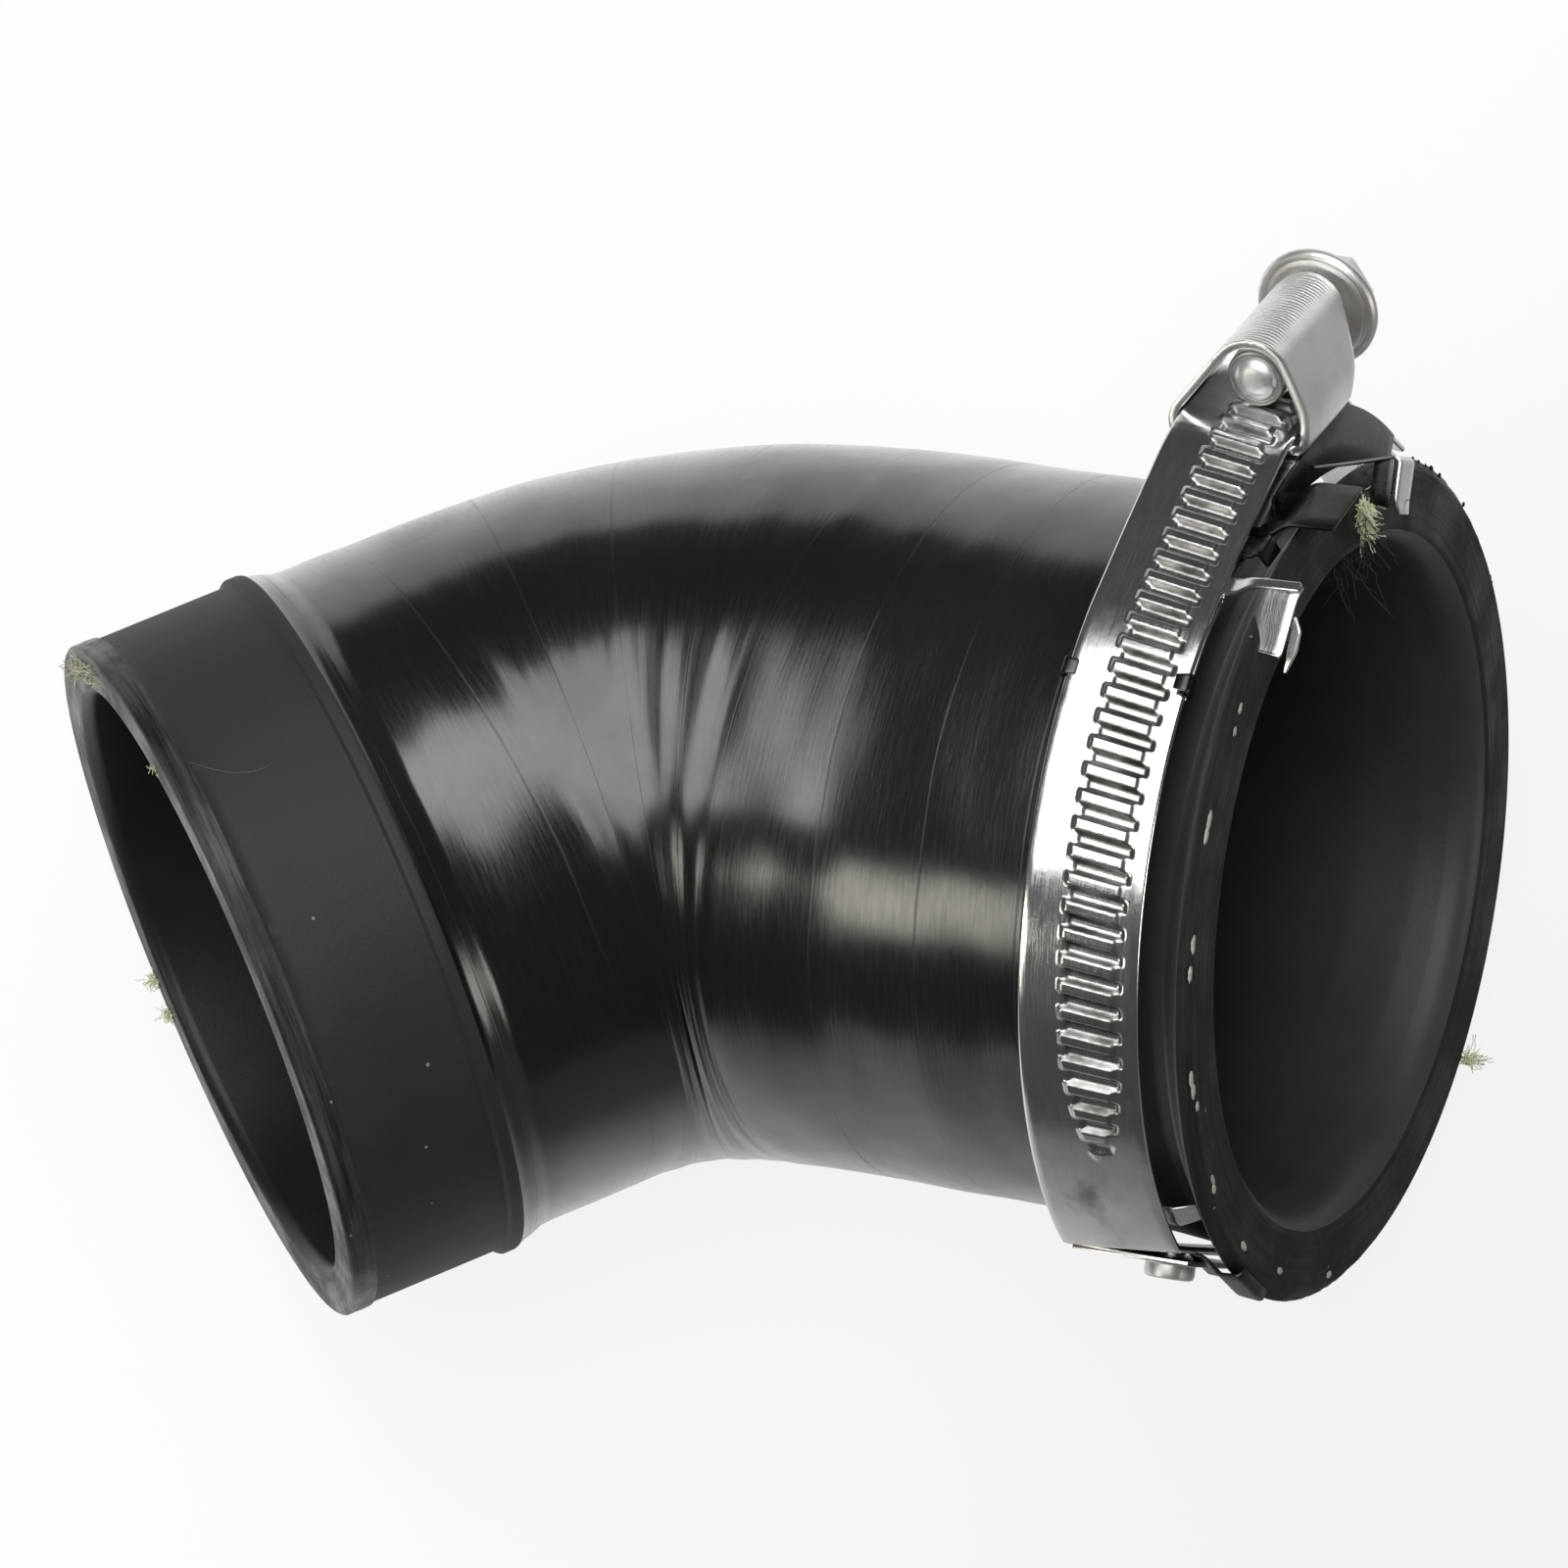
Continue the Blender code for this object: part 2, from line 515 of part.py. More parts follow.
def make_top_retainer() -> None:
    """Model the top retainer: a liner under the band, two ears, an apron and two hooks."""
    start = radial(TAKE_OFF_ANGLE, LINER_RADIUS)
    front = along_screw(UNDER_FRONT, LINER_HEIGHT)
    end = radial(LINER_END_ANGLE, LINER_RADIUS)
    path = arc(LINER_RADIUS, LINER_START_ANGLE, TAKE_OFF_ANGLE)
    path += [front, along_screw(UNDER_REAR, LINER_HEIGHT), end]
    mesh = strip_mesh(path, LINER_THICKNESS, "retainer_top")
    liner = finish(mesh, "retainer_top", polished_steel)
    root = BAND_WIDTH / 2 - 1.0
    side = BAND_WIDTH / 2 + GAP + EAR_THICKNESS / 2
    top = (BAND_THICKNESS + EAR_THICKNESS) / 2 + GAP
    low = LINER_RADIUS - RING_RADIUS
    place = ring_place(EAR_ANGLE, RING_RADIUS, RING_CENTRE_X)
    for sign, name in ((-1, "far_ear"), (1, "mouth_ear")):
        ear = [(sign * root, low), (sign * side, low), (sign * side, top), (sign * (side - EAR_REACH), top)]
        combine(liner, folded_mesh(ear, EAR_THICKNESS, EAR_LENGTH, place, name), "UNION")
    face = MOUTH_LENGTH - RING_CENTRE_X
    edge = BAND_WIDTH / 2
    depth = start.cross(front).length / (front - start).length
    rise = max(MOUTH_RADIUS + GAP + EAR_THICKNESS / 2 - depth, 0.0)
    reach = face + NEAR_HOOK_REACH
    climb = [(root, 0.0), (edge + 0.8, 0.0), (edge + 3.0, rise)]

    place = strip_place(start, front, sum(APRON_SHARES) / 2)
    width = (front - start).length * (APRON_SHARES[1] - APRON_SHARES[0])
    apron = [*climb, (face - APRON_OVERHANG, rise)]
    combine(liner, folded_mesh(apron, EAR_THICKNESS, width, place, "apron"), "UNION")

    place = strip_place(start, front, NEAR_HOOK_SHARE)
    arm = folded_mesh([*climb, (reach, rise)], EAR_THICKNESS, HOOK_WIDTH, place, "near_arm")
    combine(liner, arm, "UNION")
    turn = Matrix.Rotation(math.radians(-90), 4, "Z")
    tongue_width = NEAR_HOOK_REACH - 2 * GAP
    shift = Matrix.Translation((reach - GAP - tongue_width / 2, 0.0, rise))
    tongue = [(-HOOK_WIDTH * 0.4, 0.0), (HOOK_WIDTH * 0.5, 0.0), (NEAR_TONGUE_LENGTH, -NEAR_TONGUE_DROP)]
    combine(liner, folded_mesh(tongue, EAR_THICKNESS * 0.8, tongue_width,
                               place @ shift @ turn, "near_tongue"), "UNION")

    middle = along_screw(FAR_HOOK_PLACE, LINER_HEIGHT)
    place = strip_place(middle, along_screw(FAR_HOOK_PLACE + 1.0, LINER_HEIGHT), 0.0)
    reach = face + FAR_HOOK_REACH
    arm = [(root, 0.0), (edge + 1.5, 0.0), (face + GAP, -FAR_HOOK_FALL * 0.8), (reach, -FAR_HOOK_FALL),
           (reach + 0.2, -FAR_HOOK_FALL - FAR_HOOK_DROP)]
    combine(liner, folded_mesh(arm, EAR_THICKNESS, HOOK_WIDTH, place, "far_hook"), "UNION")


def make_bottom_retainer() -> None:
    """Model the bottom retainer: a bar on the flat of the band, with a hook over the mouth."""
    flat = ring_place(FLAT_ANGLE, BAR_DISTANCE, RING_CENTRE_X)
    place = flat @ Matrix.Translation((0.0, BAR_SHIFT, 0.0))
    edge = BAND_WIDTH / 2
    mesh = folded_mesh([(-edge, 0.0), (edge, 0.0)], LINER_THICKNESS, BAR_LENGTH, place, "retainer_bottom")
    bar = finish(mesh, "retainer_bottom", polished_steel)
    combine(bar, rivet_hole(), "DIFFERENCE")
    place = flat @ Matrix.Translation((0.0, BAR_HOOK_SHIFT, 0.0))
    face = MOUTH_LENGTH - RING_CENTRE_X
    rise = MOUTH_RADIUS + GAP + EAR_THICKNESS / 2 - BAR_DISTANCE
    reach = face + GAP + EAR_THICKNESS / 2
    hook = [(edge - 1.0, 0.0), (edge + 0.4, 0.0), (edge + 2.7, rise), (reach, rise)]
    hook.append((reach, rise - BAR_HOOK_DROP))
    combine(bar, folded_mesh(hook, EAR_THICKNESS, BAR_HOOK_WIDTH, place, "hook"), "UNION")


def make_rivet() -> None:
    """Model the rivet: domed head on the bar and a shank through the bar and the band."""
    under_head = BAR_DISTANCE + LINER_THICKNESS / 2 + GAP - FLAT_DISTANCE
    top = under_head + RIVET_HEAD_HEIGHT
    profile = [
        (0.0, top),
        (RIVET_HEAD_RADIUS * 0.7, top),
        (RIVET_HEAD_RADIUS, top - RIVET_HEAD_HEIGHT * 0.4),
        (RIVET_HEAD_RADIUS, under_head),
        (RIVET_SHANK_RADIUS, under_head),
        (RIVET_SHANK_RADIUS, -BAND_THICKNESS / 2),
        (0.0, -BAND_THICKNESS / 2),
    ]
    rivet = turn_profile(profile, 24, "retainer_rivet", satin_steel)
    place = rivet_place()
    place.translation = place.translation * MM
    rivet.matrix_world = place


def solid_data(item: bpy.types.Object) -> tuple:
    """Return a finished sub-part's points, volume and centre of volume, in metres."""
    evaluated = item.evaluated_get(bpy.context.evaluated_depsgraph_get())
    edit = bmesh.new()
    edit.from_mesh(evaluated.to_mesh())
    edit.transform(evaluated.matrix_world)
    bmesh.ops.triangulate(edit, faces=edit.faces)
    corners = np.array([[vert.co for vert in face.verts] for face in edit.faces], dtype=float)
    points = np.array([vert.co for vert in edit.verts], dtype=float)
    edit.free()
    volumes = np.einsum("ij,ij->i", corners[:, 0], np.cross(corners[:, 1], corners[:, 2])) / 6
    centre = (corners.sum(axis=1) / 4 * volumes[:, None]).sum(axis=0) / volumes.sum()
    return points, volumes.sum(), centre


def resting_turn(points: np.ndarray, centre: Vector) -> Matrix:
    """Return the turn that puts the hull's face below the centre of mass flat on the floor."""
    edit = bmesh.new()
    for point in points:
        edit.verts.new(point)
    bmesh.ops.convex_hull(edit, input=edit.verts)
    bmesh.ops.recalc_face_normals(edit, faces=edit.faces)
    best = None
    for face in edit.faces:
        normal = face.normal.copy()
        height = (face.verts[0].co - centre).dot(normal)
        foot = centre + normal * height
        sides = [(loop.link_loop_next.vert.co - loop.vert.co).cross(foot - loop.vert.co).dot(normal)
                 for loop in face.loops]
        if min(sides) > 0 and normal.z < -0.8 and (best is None or height < best[0]):
            best = (height, normal)
    edit.free()
    lying = best[1].rotation_difference(Vector((0.0, 0.0, -1.0))).to_matrix().to_4x4()
    way = lying @ MOUTH_WAY
    return Matrix.Rotation(-math.atan2(way.y, way.x), 4, "Z") @ lying


def lay_on_floor() -> None:
    """Parent every piece to an empty that lays the hose as it comes to rest."""
    bpy.context.view_layer.update()
    weights = []
    centres = []
    clouds = []
    for item in parts.objects:
        points, volume, centre = solid_data(item)
        weights.append(volume * (RUBBER_DENSITY if item.name == "hose" else STEEL_DENSITY))
        centres.append(centre)
        clouds.append(points)
    centre = Vector(np.average(centres, axis=0, weights=weights))
    turn = resting_turn(np.concatenate(clouds), centre)
    turned = np.concatenate(clouds) @ np.array(turn.to_3x3()).T
    low = turned.min(axis=0)
    high = turned.max(axis=0)
    pose = bpy.data.objects.new("resting_pose", None)
    parts.objects.link(pose)
    pose.rotation_euler = turn.to_euler()
    pose.location = (-(low[0] + high[0]) / 2, -(low[1] + high[1]) / 2, -low[2])
    for item in (*parts.objects, *cutters.objects):
        if item is not pose:
            item.parent = pose


for old in list(bpy.data.objects):
    bpy.data.objects.remove(old)
parts = bpy.data.collections.new(COLLECTION_NAME)
cutters = bpy.data.collections.new("cutters")
bpy.context.scene.collection.children.link(parts)
bpy.context.scene.collection.children.link(cutters)
rubber = make_material("rubber_black", (0.035, 0.036, 0.04), 0.35, 0.0)
polished_steel = make_material("polished_steel", (0.75, 0.75, 0.75), 0.12, 1.0)
satin_steel = make_material("satin_steel", (0.68, 0.68, 0.67), 0.3, 1.0)
make_hose()
make_band()
make_housing()
make_screw()
make_top_retainer()
make_bottom_retainer()
make_rivet()
lay_on_floor()
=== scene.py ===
"""Moulded turbo hose elbow with a loose worm-drive clamp, dressed round its CAD frame.

Shapes are worked out in millimetres in the hose's own frame: the axes of its two legs cross
at the origin, +X runs out of the flared mouth and +Z is square to both legs. `Placing` turns
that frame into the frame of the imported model.
"""

import json
import logging
import math
from collections.abc import Callable
from dataclasses import dataclass, field
from enum import Enum

import bpy
import numpy as np
from mathutils import Matrix, Vector


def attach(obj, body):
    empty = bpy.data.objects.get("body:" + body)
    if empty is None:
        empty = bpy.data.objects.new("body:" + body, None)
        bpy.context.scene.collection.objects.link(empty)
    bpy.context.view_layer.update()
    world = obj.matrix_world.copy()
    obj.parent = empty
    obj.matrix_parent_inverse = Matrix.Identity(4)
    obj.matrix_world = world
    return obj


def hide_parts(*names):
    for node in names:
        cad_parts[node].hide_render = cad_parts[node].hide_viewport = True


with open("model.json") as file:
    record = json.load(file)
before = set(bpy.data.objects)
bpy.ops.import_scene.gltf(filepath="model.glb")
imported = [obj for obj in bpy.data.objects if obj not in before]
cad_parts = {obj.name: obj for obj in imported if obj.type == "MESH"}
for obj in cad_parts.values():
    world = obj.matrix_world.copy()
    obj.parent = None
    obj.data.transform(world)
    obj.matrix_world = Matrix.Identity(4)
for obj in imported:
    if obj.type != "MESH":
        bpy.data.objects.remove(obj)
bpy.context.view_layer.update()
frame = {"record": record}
LOG = logging.getLogger("turbo_hose")

MM = 0.001
GAP = 0.3

# Hose: the lengths of its legs are from the crossing of their axes.
BEND = math.radians(45.7)
MOUTH_LENGTH = 70.7
CUFF_LENGTH = 52.7
CUFF_RADIUS = 35.3
RING_WIDTH = 2.4
CUFF_WIDTH = 14.4
LIP_HEIGHT = 0.6
LIP_WIDTH = 1.4
CUFF_BODY_RADIUS = 34.6
BODY_RADIUS = 35.9
INNER_BEND_RADIUS = 5.5
OUTER_BEND_RADIUS = 92.0
WALL = 4.9
MOUTH_RADIUS = 41.3
MOUTH_BORE_RADIUS = 34.3
SEAT_END_RADIUS = 37.0
MOUNT_RADIUS = 37.3
SEGMENTS = 240

# Clamp: angles round the ring are in degrees from +Z towards +Y, and heights are from its
# centre, square to the screw.
BAND_START = 54.1
BAND_WIDTH = 12.0
BAND_THICKNESS = 0.7
RING_CENTRE = BAND_START + BAND_WIDTH / 2
RING_RADIUS = 42.4
FLAT_ANGLE = -135.0
FLAT_DISTANCE = 37.65
TAKE_OFF_ANGLE = -13.0
LANDING_ANGLE = 62.0
TAIL_ANGLE = 56.0
TAIL_LIFT = 1.8
STRIP_HEIGHT = 46.55
FIXED_HEIGHT = 45.55
BASE_HEIGHT = 44.45
LINER_HEIGHT = 43.45
LINER_RADIUS = 41.5
SCREW_TURN = math.radians(13.6)
SCREW_HEIGHT = 50.3
SCREW_OFFSET = 7.0
SCREW_TIP = 5.2
SHEET = 0.9
FRONT_FOOT = 3.4
REAR_FOOT = 14.0
ROOF_END = 20.8


class Body(Enum):
    """The CAD bodies that pieces ride on."""

    ROOT = "root"
    SCREW = "screw"


class Slot(Enum):
    """The record's material slots."""

    RUBBER = "hose_rubber"
    BAND = "band_steel"
    HOUSING = "housing_steel"
    SCREW = "screw_steel"
    RETAINER = "retainer_steel"


class Placing:
    """Turns points of the hose's frame, in mm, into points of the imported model, in metres."""

    def __init__(self, record: dict) -> None:
        """Read the hose's frame from the record's two mounts.

        Args:
            record: The part's record, as packed.
        """
        mounts = {mount["name"]: mount for mount in record["mounts"]}
        mouth = Vector(mounts["mouth_face"]["axis"]).normalized()
        cuff = Vector(mounts["cuff_face"]["axis"]).normalized()
        square = cuff.cross(mouth).normalized()
        beside = square.cross(mouth)
        origin = Vector(mounts["mouth_face"]["pos_m"])
        origin -= (mouth * MOUTH_LENGTH + square * MOUNT_RADIUS) * MM
        self.turn = np.array([mouth, beside, square])
        self.origin = np.array(origin)

    def points(self, points: np.ndarray) -> np.ndarray:
        """Return points in metres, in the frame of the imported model."""
        return points @ self.turn * MM + self.origin

    def way(self, way: tuple) -> Vector:
        """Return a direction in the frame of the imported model."""
        return Vector(np.array(way) @ self.turn)


PLACING = Placing(frame["record"])


def radial(angle: float, radius: float) -> np.ndarray:
    """Return the point of the ring's plane at an angle, in degrees from +Z towards +Y."""
    turn = math.radians(angle)
    return np.array([0.0, radius * math.sin(turn), radius * math.cos(turn)])


def along_screw(distance: float, height: float) -> np.ndarray:
    """Return the point of the ring's plane at a distance along the screw and a height.

    Args:
        distance: How far along the screw the point is, from the ring's top.
        height: How far it is from the ring's centre, square to the screw.

    Returns:
        The point, in the hose's frame, with an x of 0.
    """
    way = np.array([0.0, math.cos(SCREW_TURN), -math.sin(SCREW_TURN)])
    out = np.array([0.0, math.sin(SCREW_TURN), math.cos(SCREW_TURN)])
    return way * distance + out * height


def arc(radius: float, start: float, end: float, step: float = 1.0) -> list:
    """Return points of an arc of the ring, a step of degrees apart."""
    count = max(2, int(abs(end - start) / step) + 1)
    return [radial(angle, radius) for angle in np.linspace(start, end, count)]


def rounded(points: list, radius: float, steps: int = 6) -> np.ndarray:
    """Return a path with its corners rounded.

    Args:
        points: Corners of the path. Any further numbers of a corner, such as a width, are
            carried along.
        radius: How far from each corner its bend starts, at most.
        steps: Pieces of each bend.

    Returns:
        The points of the rounded path, one in each row.
    """
    corners = [np.array(point, dtype=float) for point in points]
    path = [corners[0]]
    for before, corner, after in zip(corners, corners[1:], corners[2:]):
        one = before - corner
        other = after - corner
        first = corner + one * min(0.45, radius / np.linalg.norm(one[:2]))
        last = corner + other * min(0.45, radius / np.linalg.norm(other[:2]))
        for share in np.linspace(0.0, 1.0, steps + 1):
            bend = first * (1 - share) ** 2 + corner * 2 * share * (1 - share) + last * share**2
            path.append(bend)
    path.append(corners[-1])
    return np.array(path)


def resample(path: np.ndarray, places: np.ndarray) -> np.ndarray:
    """Return the points of a path at the given lengths along it."""
    lengths = path_lengths(path)
    return np.stack([np.interp(places, lengths, column) for column in path.T], axis=1)


def path_lengths(path: np.ndarray) -> np.ndarray:
    """Return how far along a path each of its points is."""
    steps = np.linalg.norm(np.diff(path, axis=0), axis=1)
    return np.concatenate([[0.0], np.cumsum(steps)])


def wobble(*phases: np.ndarray) -> np.ndarray:
    """Return a smooth, irregular wave between about -1 and 1 from one or more phases.

    Args:
        *phases: Arrays of angles, in radians, that broadcast together.

    Returns:
        An array of their common shape.
    """
    total = np.zeros(np.broadcast(*phases).shape)
    for k, (weight, pace) in enumerate(((0.5, 1.0), (0.3, 1.93), (0.2, 3.71))):
        wave = np.ones_like(total)
        for j, phase in enumerate(phases):
            wave = wave * np.sin(phase * pace * (1 + 0.13 * j) + 1.7 * k + 2.3 * j)
        total = total + weight * wave
    return total


def select_only(item: bpy.types.Object) -> None:
    """Make an object the only selected one, and the active one.

    Args:
        item: The object.
    """
    bpy.ops.object.select_all(action="DESELECT")
    item.select_set(True)
    bpy.context.view_layer.objects.active = item


def apply_modifier(item: bpy.types.Object, kind: str, **settings: object) -> None:
    """Add a modifier to an object, and apply it.

    Args:
        item: The object.
        kind: The modifier's type, such as BEVEL.
        **settings: Values for the modifier's own properties.
    """
    select_only(item)
    modifier = item.modifiers.new(kind.lower(), kind)
    for name, value in settings.items():
        setattr(modifier, name, value)
    bpy.ops.object.modifier_apply(modifier=modifier.name)


def clean(item: bpy.types.Object, angle: float) -> None:
    """Merge an object's doubled points, turn its faces outwards and smooth it by an angle.

    Args:
        item: The object.
        angle: Smallest angle between faces, in degrees, that stays sharp.
    """
    select_only(item)
    bpy.ops.object.mode_set(mode="EDIT")
    bpy.ops.mesh.select_all(action="SELECT")
    bpy.ops.mesh.remove_doubles(threshold=0.000002)
    bpy.ops.mesh.normals_make_consistent(inside=False)
    bpy.ops.object.mode_set(mode="OBJECT")
    bpy.ops.object.shade_smooth_by_angle(angle=math.radians(angle))


def lay_grid(name: str, points: np.ndarray, uv_scale: float = 0.01) -> bpy.types.Object:
    """Return a grid whose points lie where they are told to.

    Args:
        name: Name of the new object.
        points: Rows of columns of points in the hose's frame, in mm.
        uv_scale: UV units in a millimetre, with U across the columns and V down the rows.

    Returns:
        The new object, at the origin, with one open surface.
    """
    rows, columns = points.shape[:2]
    bpy.ops.object.select_all(action="DESELECT")
    bpy.ops.mesh.primitive_grid_add(x_subdivisions=columns - 1, y_subdivisions=rows - 1, size=1.0)
    item = bpy.context.object
    item.name = name
    item.data.name = name
    mesh = item.data
    mesh.vertices.foreach_set("co", PLACING.points(points.reshape(-1, 3)).ravel())
    across = np.linalg.norm(np.diff(points, axis=1), axis=2).mean(axis=0)
    down = np.linalg.norm(np.diff(points, axis=0), axis=2).mean(axis=1)
    place = np.zeros((rows, columns, 2))
    place[:, :, 0] = np.concatenate([[0.0], np.cumsum(across)])[None, :]
    place[:, :, 1] = np.concatenate([[0.0], np.cumsum(down)])[:, None]
    corners = np.zeros(len(mesh.loops), dtype=np.int32)
    mesh.loops.foreach_get("vertex_index", corners)
    flat = place.reshape(-1, 2)[corners] * uv_scale
    mesh.uv_layers[0].data.foreach_set("uv", flat.ravel())
    mesh.update()
    return item


def adopt(item: bpy.types.Object, body: Body, slot: Slot, *nodes: str) -> bpy.types.Object:
    """Put a finished piece on its body, in the place of CAD nodes if any are named.

    Args:
        item: The finished piece.
        body: The body that it rides on.
        slot: The record's material that it has; not used.
        *nodes: CAD nodes that it takes the place of.

    Returns:
        The same object.
    """
    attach(item, body.value)
    if nodes:
        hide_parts(*nodes)
    return item


def join(name: str, items: list) -> bpy.types.Object:
    """Return one object made of several.

    Args:
        name: Name of the joined object.
        items: The objects; the first takes in the rest.

    Returns:
        The joined object.
    """
    bpy.ops.object.select_all(action="DESELECT")
    for item in items:
        item.select_set(True)
    bpy.context.view_layer.objects.active = items[0]
    if len(items) > 1:
        bpy.ops.object.join()
    items[0].name = name
    items[0].data.name = name
    return items[0]


# Materials


class Tree:
    """A node tree that is written as short calls."""

    def __init__(self, tree: bpy.types.NodeTree) -> None:
        """Keep the tree that the calls add to."""
        self.tree = tree

    def add(self, kind: str, inputs: dict | None = None, **settings: object) -> bpy.types.Node:
        """Add a node.

        Args:
            kind: The node's type, such as ShaderNodeMath.
            inputs: Values or output sockets for its inputs, by name or number.
            **settings: Values for the node's own properties.

        Returns:
            The new node.
        """
        node = self.tree.nodes.new(kind)
        for name, value in settings.items():
            setattr(node, name, value)
        for name, value in (inputs or {}).items():
            socket = node.inputs[name]
            if isinstance(value, bpy.types.NodeSocket):
                self.tree.links.new(value, socket)
            else:
                socket.default_value = value
        return node

    def math(self, operation: str, one: object, other: object = 0.0, clamp: bool = False) -> object:
        """Return the result of one sum on values."""
        node = self.add("ShaderNodeMath", {0: one, 1: other}, operation=operation, use_clamp=clamp)
        return node.outputs[0]

    def times(self, one: object, other: object) -> object:
        """Return the product of two values."""
        return self.math("MULTIPLY", one, other)

    def plus(self, one: object, other: object, clamp: bool = False) -> object:
        """Return the sum of two values, kept between 0 and 1 if asked."""
        return self.math("ADD", one, other, clamp)

    def places(self) -> tuple:
        """Return the piece's own object coordinates and UV coordinates."""
        outputs = self.add("ShaderNodeTexCoord").outputs
        return outputs["Object"], outputs["UV"]

    def split(self, vector: object) -> tuple:
        """Return the three numbers of a place or colour."""
        return tuple(self.add("ShaderNodeSeparateXYZ", {"Vector": vector}).outputs)

    def along(self, place: object, way: tuple) -> object:
        """Return how far a place lies along a direction."""
        inputs = {0: place, 1: way}
        return self.add("ShaderNodeVectorMath", inputs, operation="DOT_PRODUCT").outputs["Value"]

    def noise(self, vector: object, scale: float, detail: float = 3.0,
              rough: float = 0.5) -> object:
        """Return noise of a scale at a place."""
        inputs = {"Vector": vector, "Scale": scale, "Detail": detail, "Roughness": rough}
        return self.add("ShaderNodeTexNoise", inputs).outputs["Fac"]

    def stretched(self, vector: object, scale: tuple) -> object:
        """Return a place scaled by a different amount along each axis."""
        inputs = {"Vector": vector, "Scale": scale}
        return self.add("ShaderNodeMapping", inputs).outputs["Vector"]

    def ramp(self, value: object, low: float, high: float, first: float = 0.0,
             last: float = 1.0) -> object:
        """Return a value that goes smoothly from first to last as another goes from low to high.

        Args:
            value: The value that drives the ramp.
            low: Where the ramp starts.
            high: Where it ends.
            first: The result at its start and below.
            last: The result at its end and above.

        Returns:
            The output socket.
        """
        inputs = {"Value": value, "From Min": low, "From Max": high}
        inputs.update({"To Min": first, "To Max": last})
        node = self.add("ShaderNodeMapRange", inputs, interpolation_type="SMOOTHSTEP")
        return node.outputs["Result"]

    def mix(self, factor: object, one: object, other: object) -> object:
        """Return a colour between two colours.

        Args:
            factor: How much of the other colour there is, from 0 to 1.
            one: The first colour.
            other: The other colour.

        Returns:
            The output socket.
        """
        inputs = {0: factor, 6: one, 7: other}
        return self.add("ShaderNodeMix", inputs, data_type="RGBA").outputs[2]

    def bump(self, height: object, distance: float, strength: float = 1.0,
             normal: object = None) -> object:
        """Return a normal bumped by a height.

        Args:
            height: How high the surface is, from 0 to 1.
            distance: How high 1 is, in metres.
            strength: How much of the bump shows.
            normal: The normal to start from, if not the surface's own.

        Returns:
            The output socket.
        """
        inputs = {"Height": height, "Distance": distance, "Strength": strength}
        if normal is not None:
            inputs["Normal"] = normal
        return self.add("ShaderNodeBump", inputs).outputs["Normal"]

    def specks(self, place: object, scale: float, size: float, share: float) -> object:
        """Return the mask of scattered specks, such as lint and dust.

        Args:
            place: Coordinates of the surface.
            scale: Cells in a metre.
            size: Radius of a speck, as a share of its cell.
            share: Share of the cells that hold one.

        Returns:
            The output socket.
        """
        inputs = {"Vector": place, "Scale": scale, "Size": size, "Share": share}
        return self.add("ShaderNodeGroup", inputs, node_tree=GROUPS["specks"]).outputs["Mask"]


def grey(level: float, warm: float = 0.0) -> tuple:
    """Return a grey colour, a little warmer or colder if asked."""
    return (level * (1 + warm), level, level * (1 - warm), 1.0)


# Node groups that several finishes share, by name; main fills it once.
GROUPS: dict[str, bpy.types.NodeTree] = {}


def make_group(name: str, inputs: dict, outputs: dict) -> tuple:
    """Return a new shader node group, its tree and its two end nodes.

    Args:
        name: Name of the group.
        inputs: Socket types by name, for its inputs.
        outputs: Socket types by name, for its outputs.

    Returns:
        The group, a Tree of it, its input node and its output node.
    """
    group = bpy.data.node_groups.new(name, "ShaderNodeTree")
    for way, sockets in (("INPUT", inputs), ("OUTPUT", outputs)):
        for socket, kind in sockets.items():
            group.interface.new_socket(socket, in_out=way, socket_type=kind)
    tree = Tree(group)
    return group, tree, tree.add("NodeGroupInput"), tree.add("NodeGroupOutput")


def specks_group() -> bpy.types.NodeTree:
    """Return a group that scatters small specks, such as lint and dust.

    Returns:
        The group, with a mask of 0 or 1 as its output.
    """
    inputs = {"Vector": "NodeSocketVector"}
    inputs.update(dict.fromkeys(("Scale", "Size", "Share"), "NodeSocketFloat"))
    group, tree, start, end = make_group("Specks", inputs, {"Mask": "NodeSocketFloat"})
    places = {"Vector": start.outputs["Vector"], "Scale": start.outputs["Scale"]}
    cells = tree.add("ShaderNodeTexVoronoi", places).outputs
    draw = tree.add("ShaderNodeSeparateColor", {"Color": cells["Color"]}).outputs[0]
    chosen = tree.math("LESS_THAN", draw, start.outputs["Share"])
    near = tree.math("LESS_THAN", cells["Distance"], start.outputs["Size"])
    tree.tree.links.new(tree.times(chosen, near), end.inputs["Mask"])
    return group


def streaks_group() -> bpy.types.NodeTree:
    """Return a group of fine streaks that run along U, and of a few thin lines among them.

    Returns:
        The group, with the streaks' height and the lines' mask as its outputs.
    """
    inputs = {"Vector": "NodeSocketVector", "Fineness": "NodeSocketFloat"}
    outputs = dict.fromkeys(("Height", "Lines"), "NodeSocketFloat")
    group, tree, start, end = make_group("Streaks", inputs, outputs)
    fineness = start.outputs["Fineness"]
    fine = tree.noise(tree.stretched(start.outputs["Vector"], (1.0, 14.0, 1.0)), fineness, 4.0, 0.6)
    thin = tree.noise(tree.stretched(start.outputs["Vector"], (0.35, 40.0, 1.0)), fineness, 2.0)
    tree.tree.links.new(fine, end.inputs["Height"])
    tree.tree.links.new(tree.ramp(thin, 0.66, 0.74), end.inputs["Lines"])
    return group


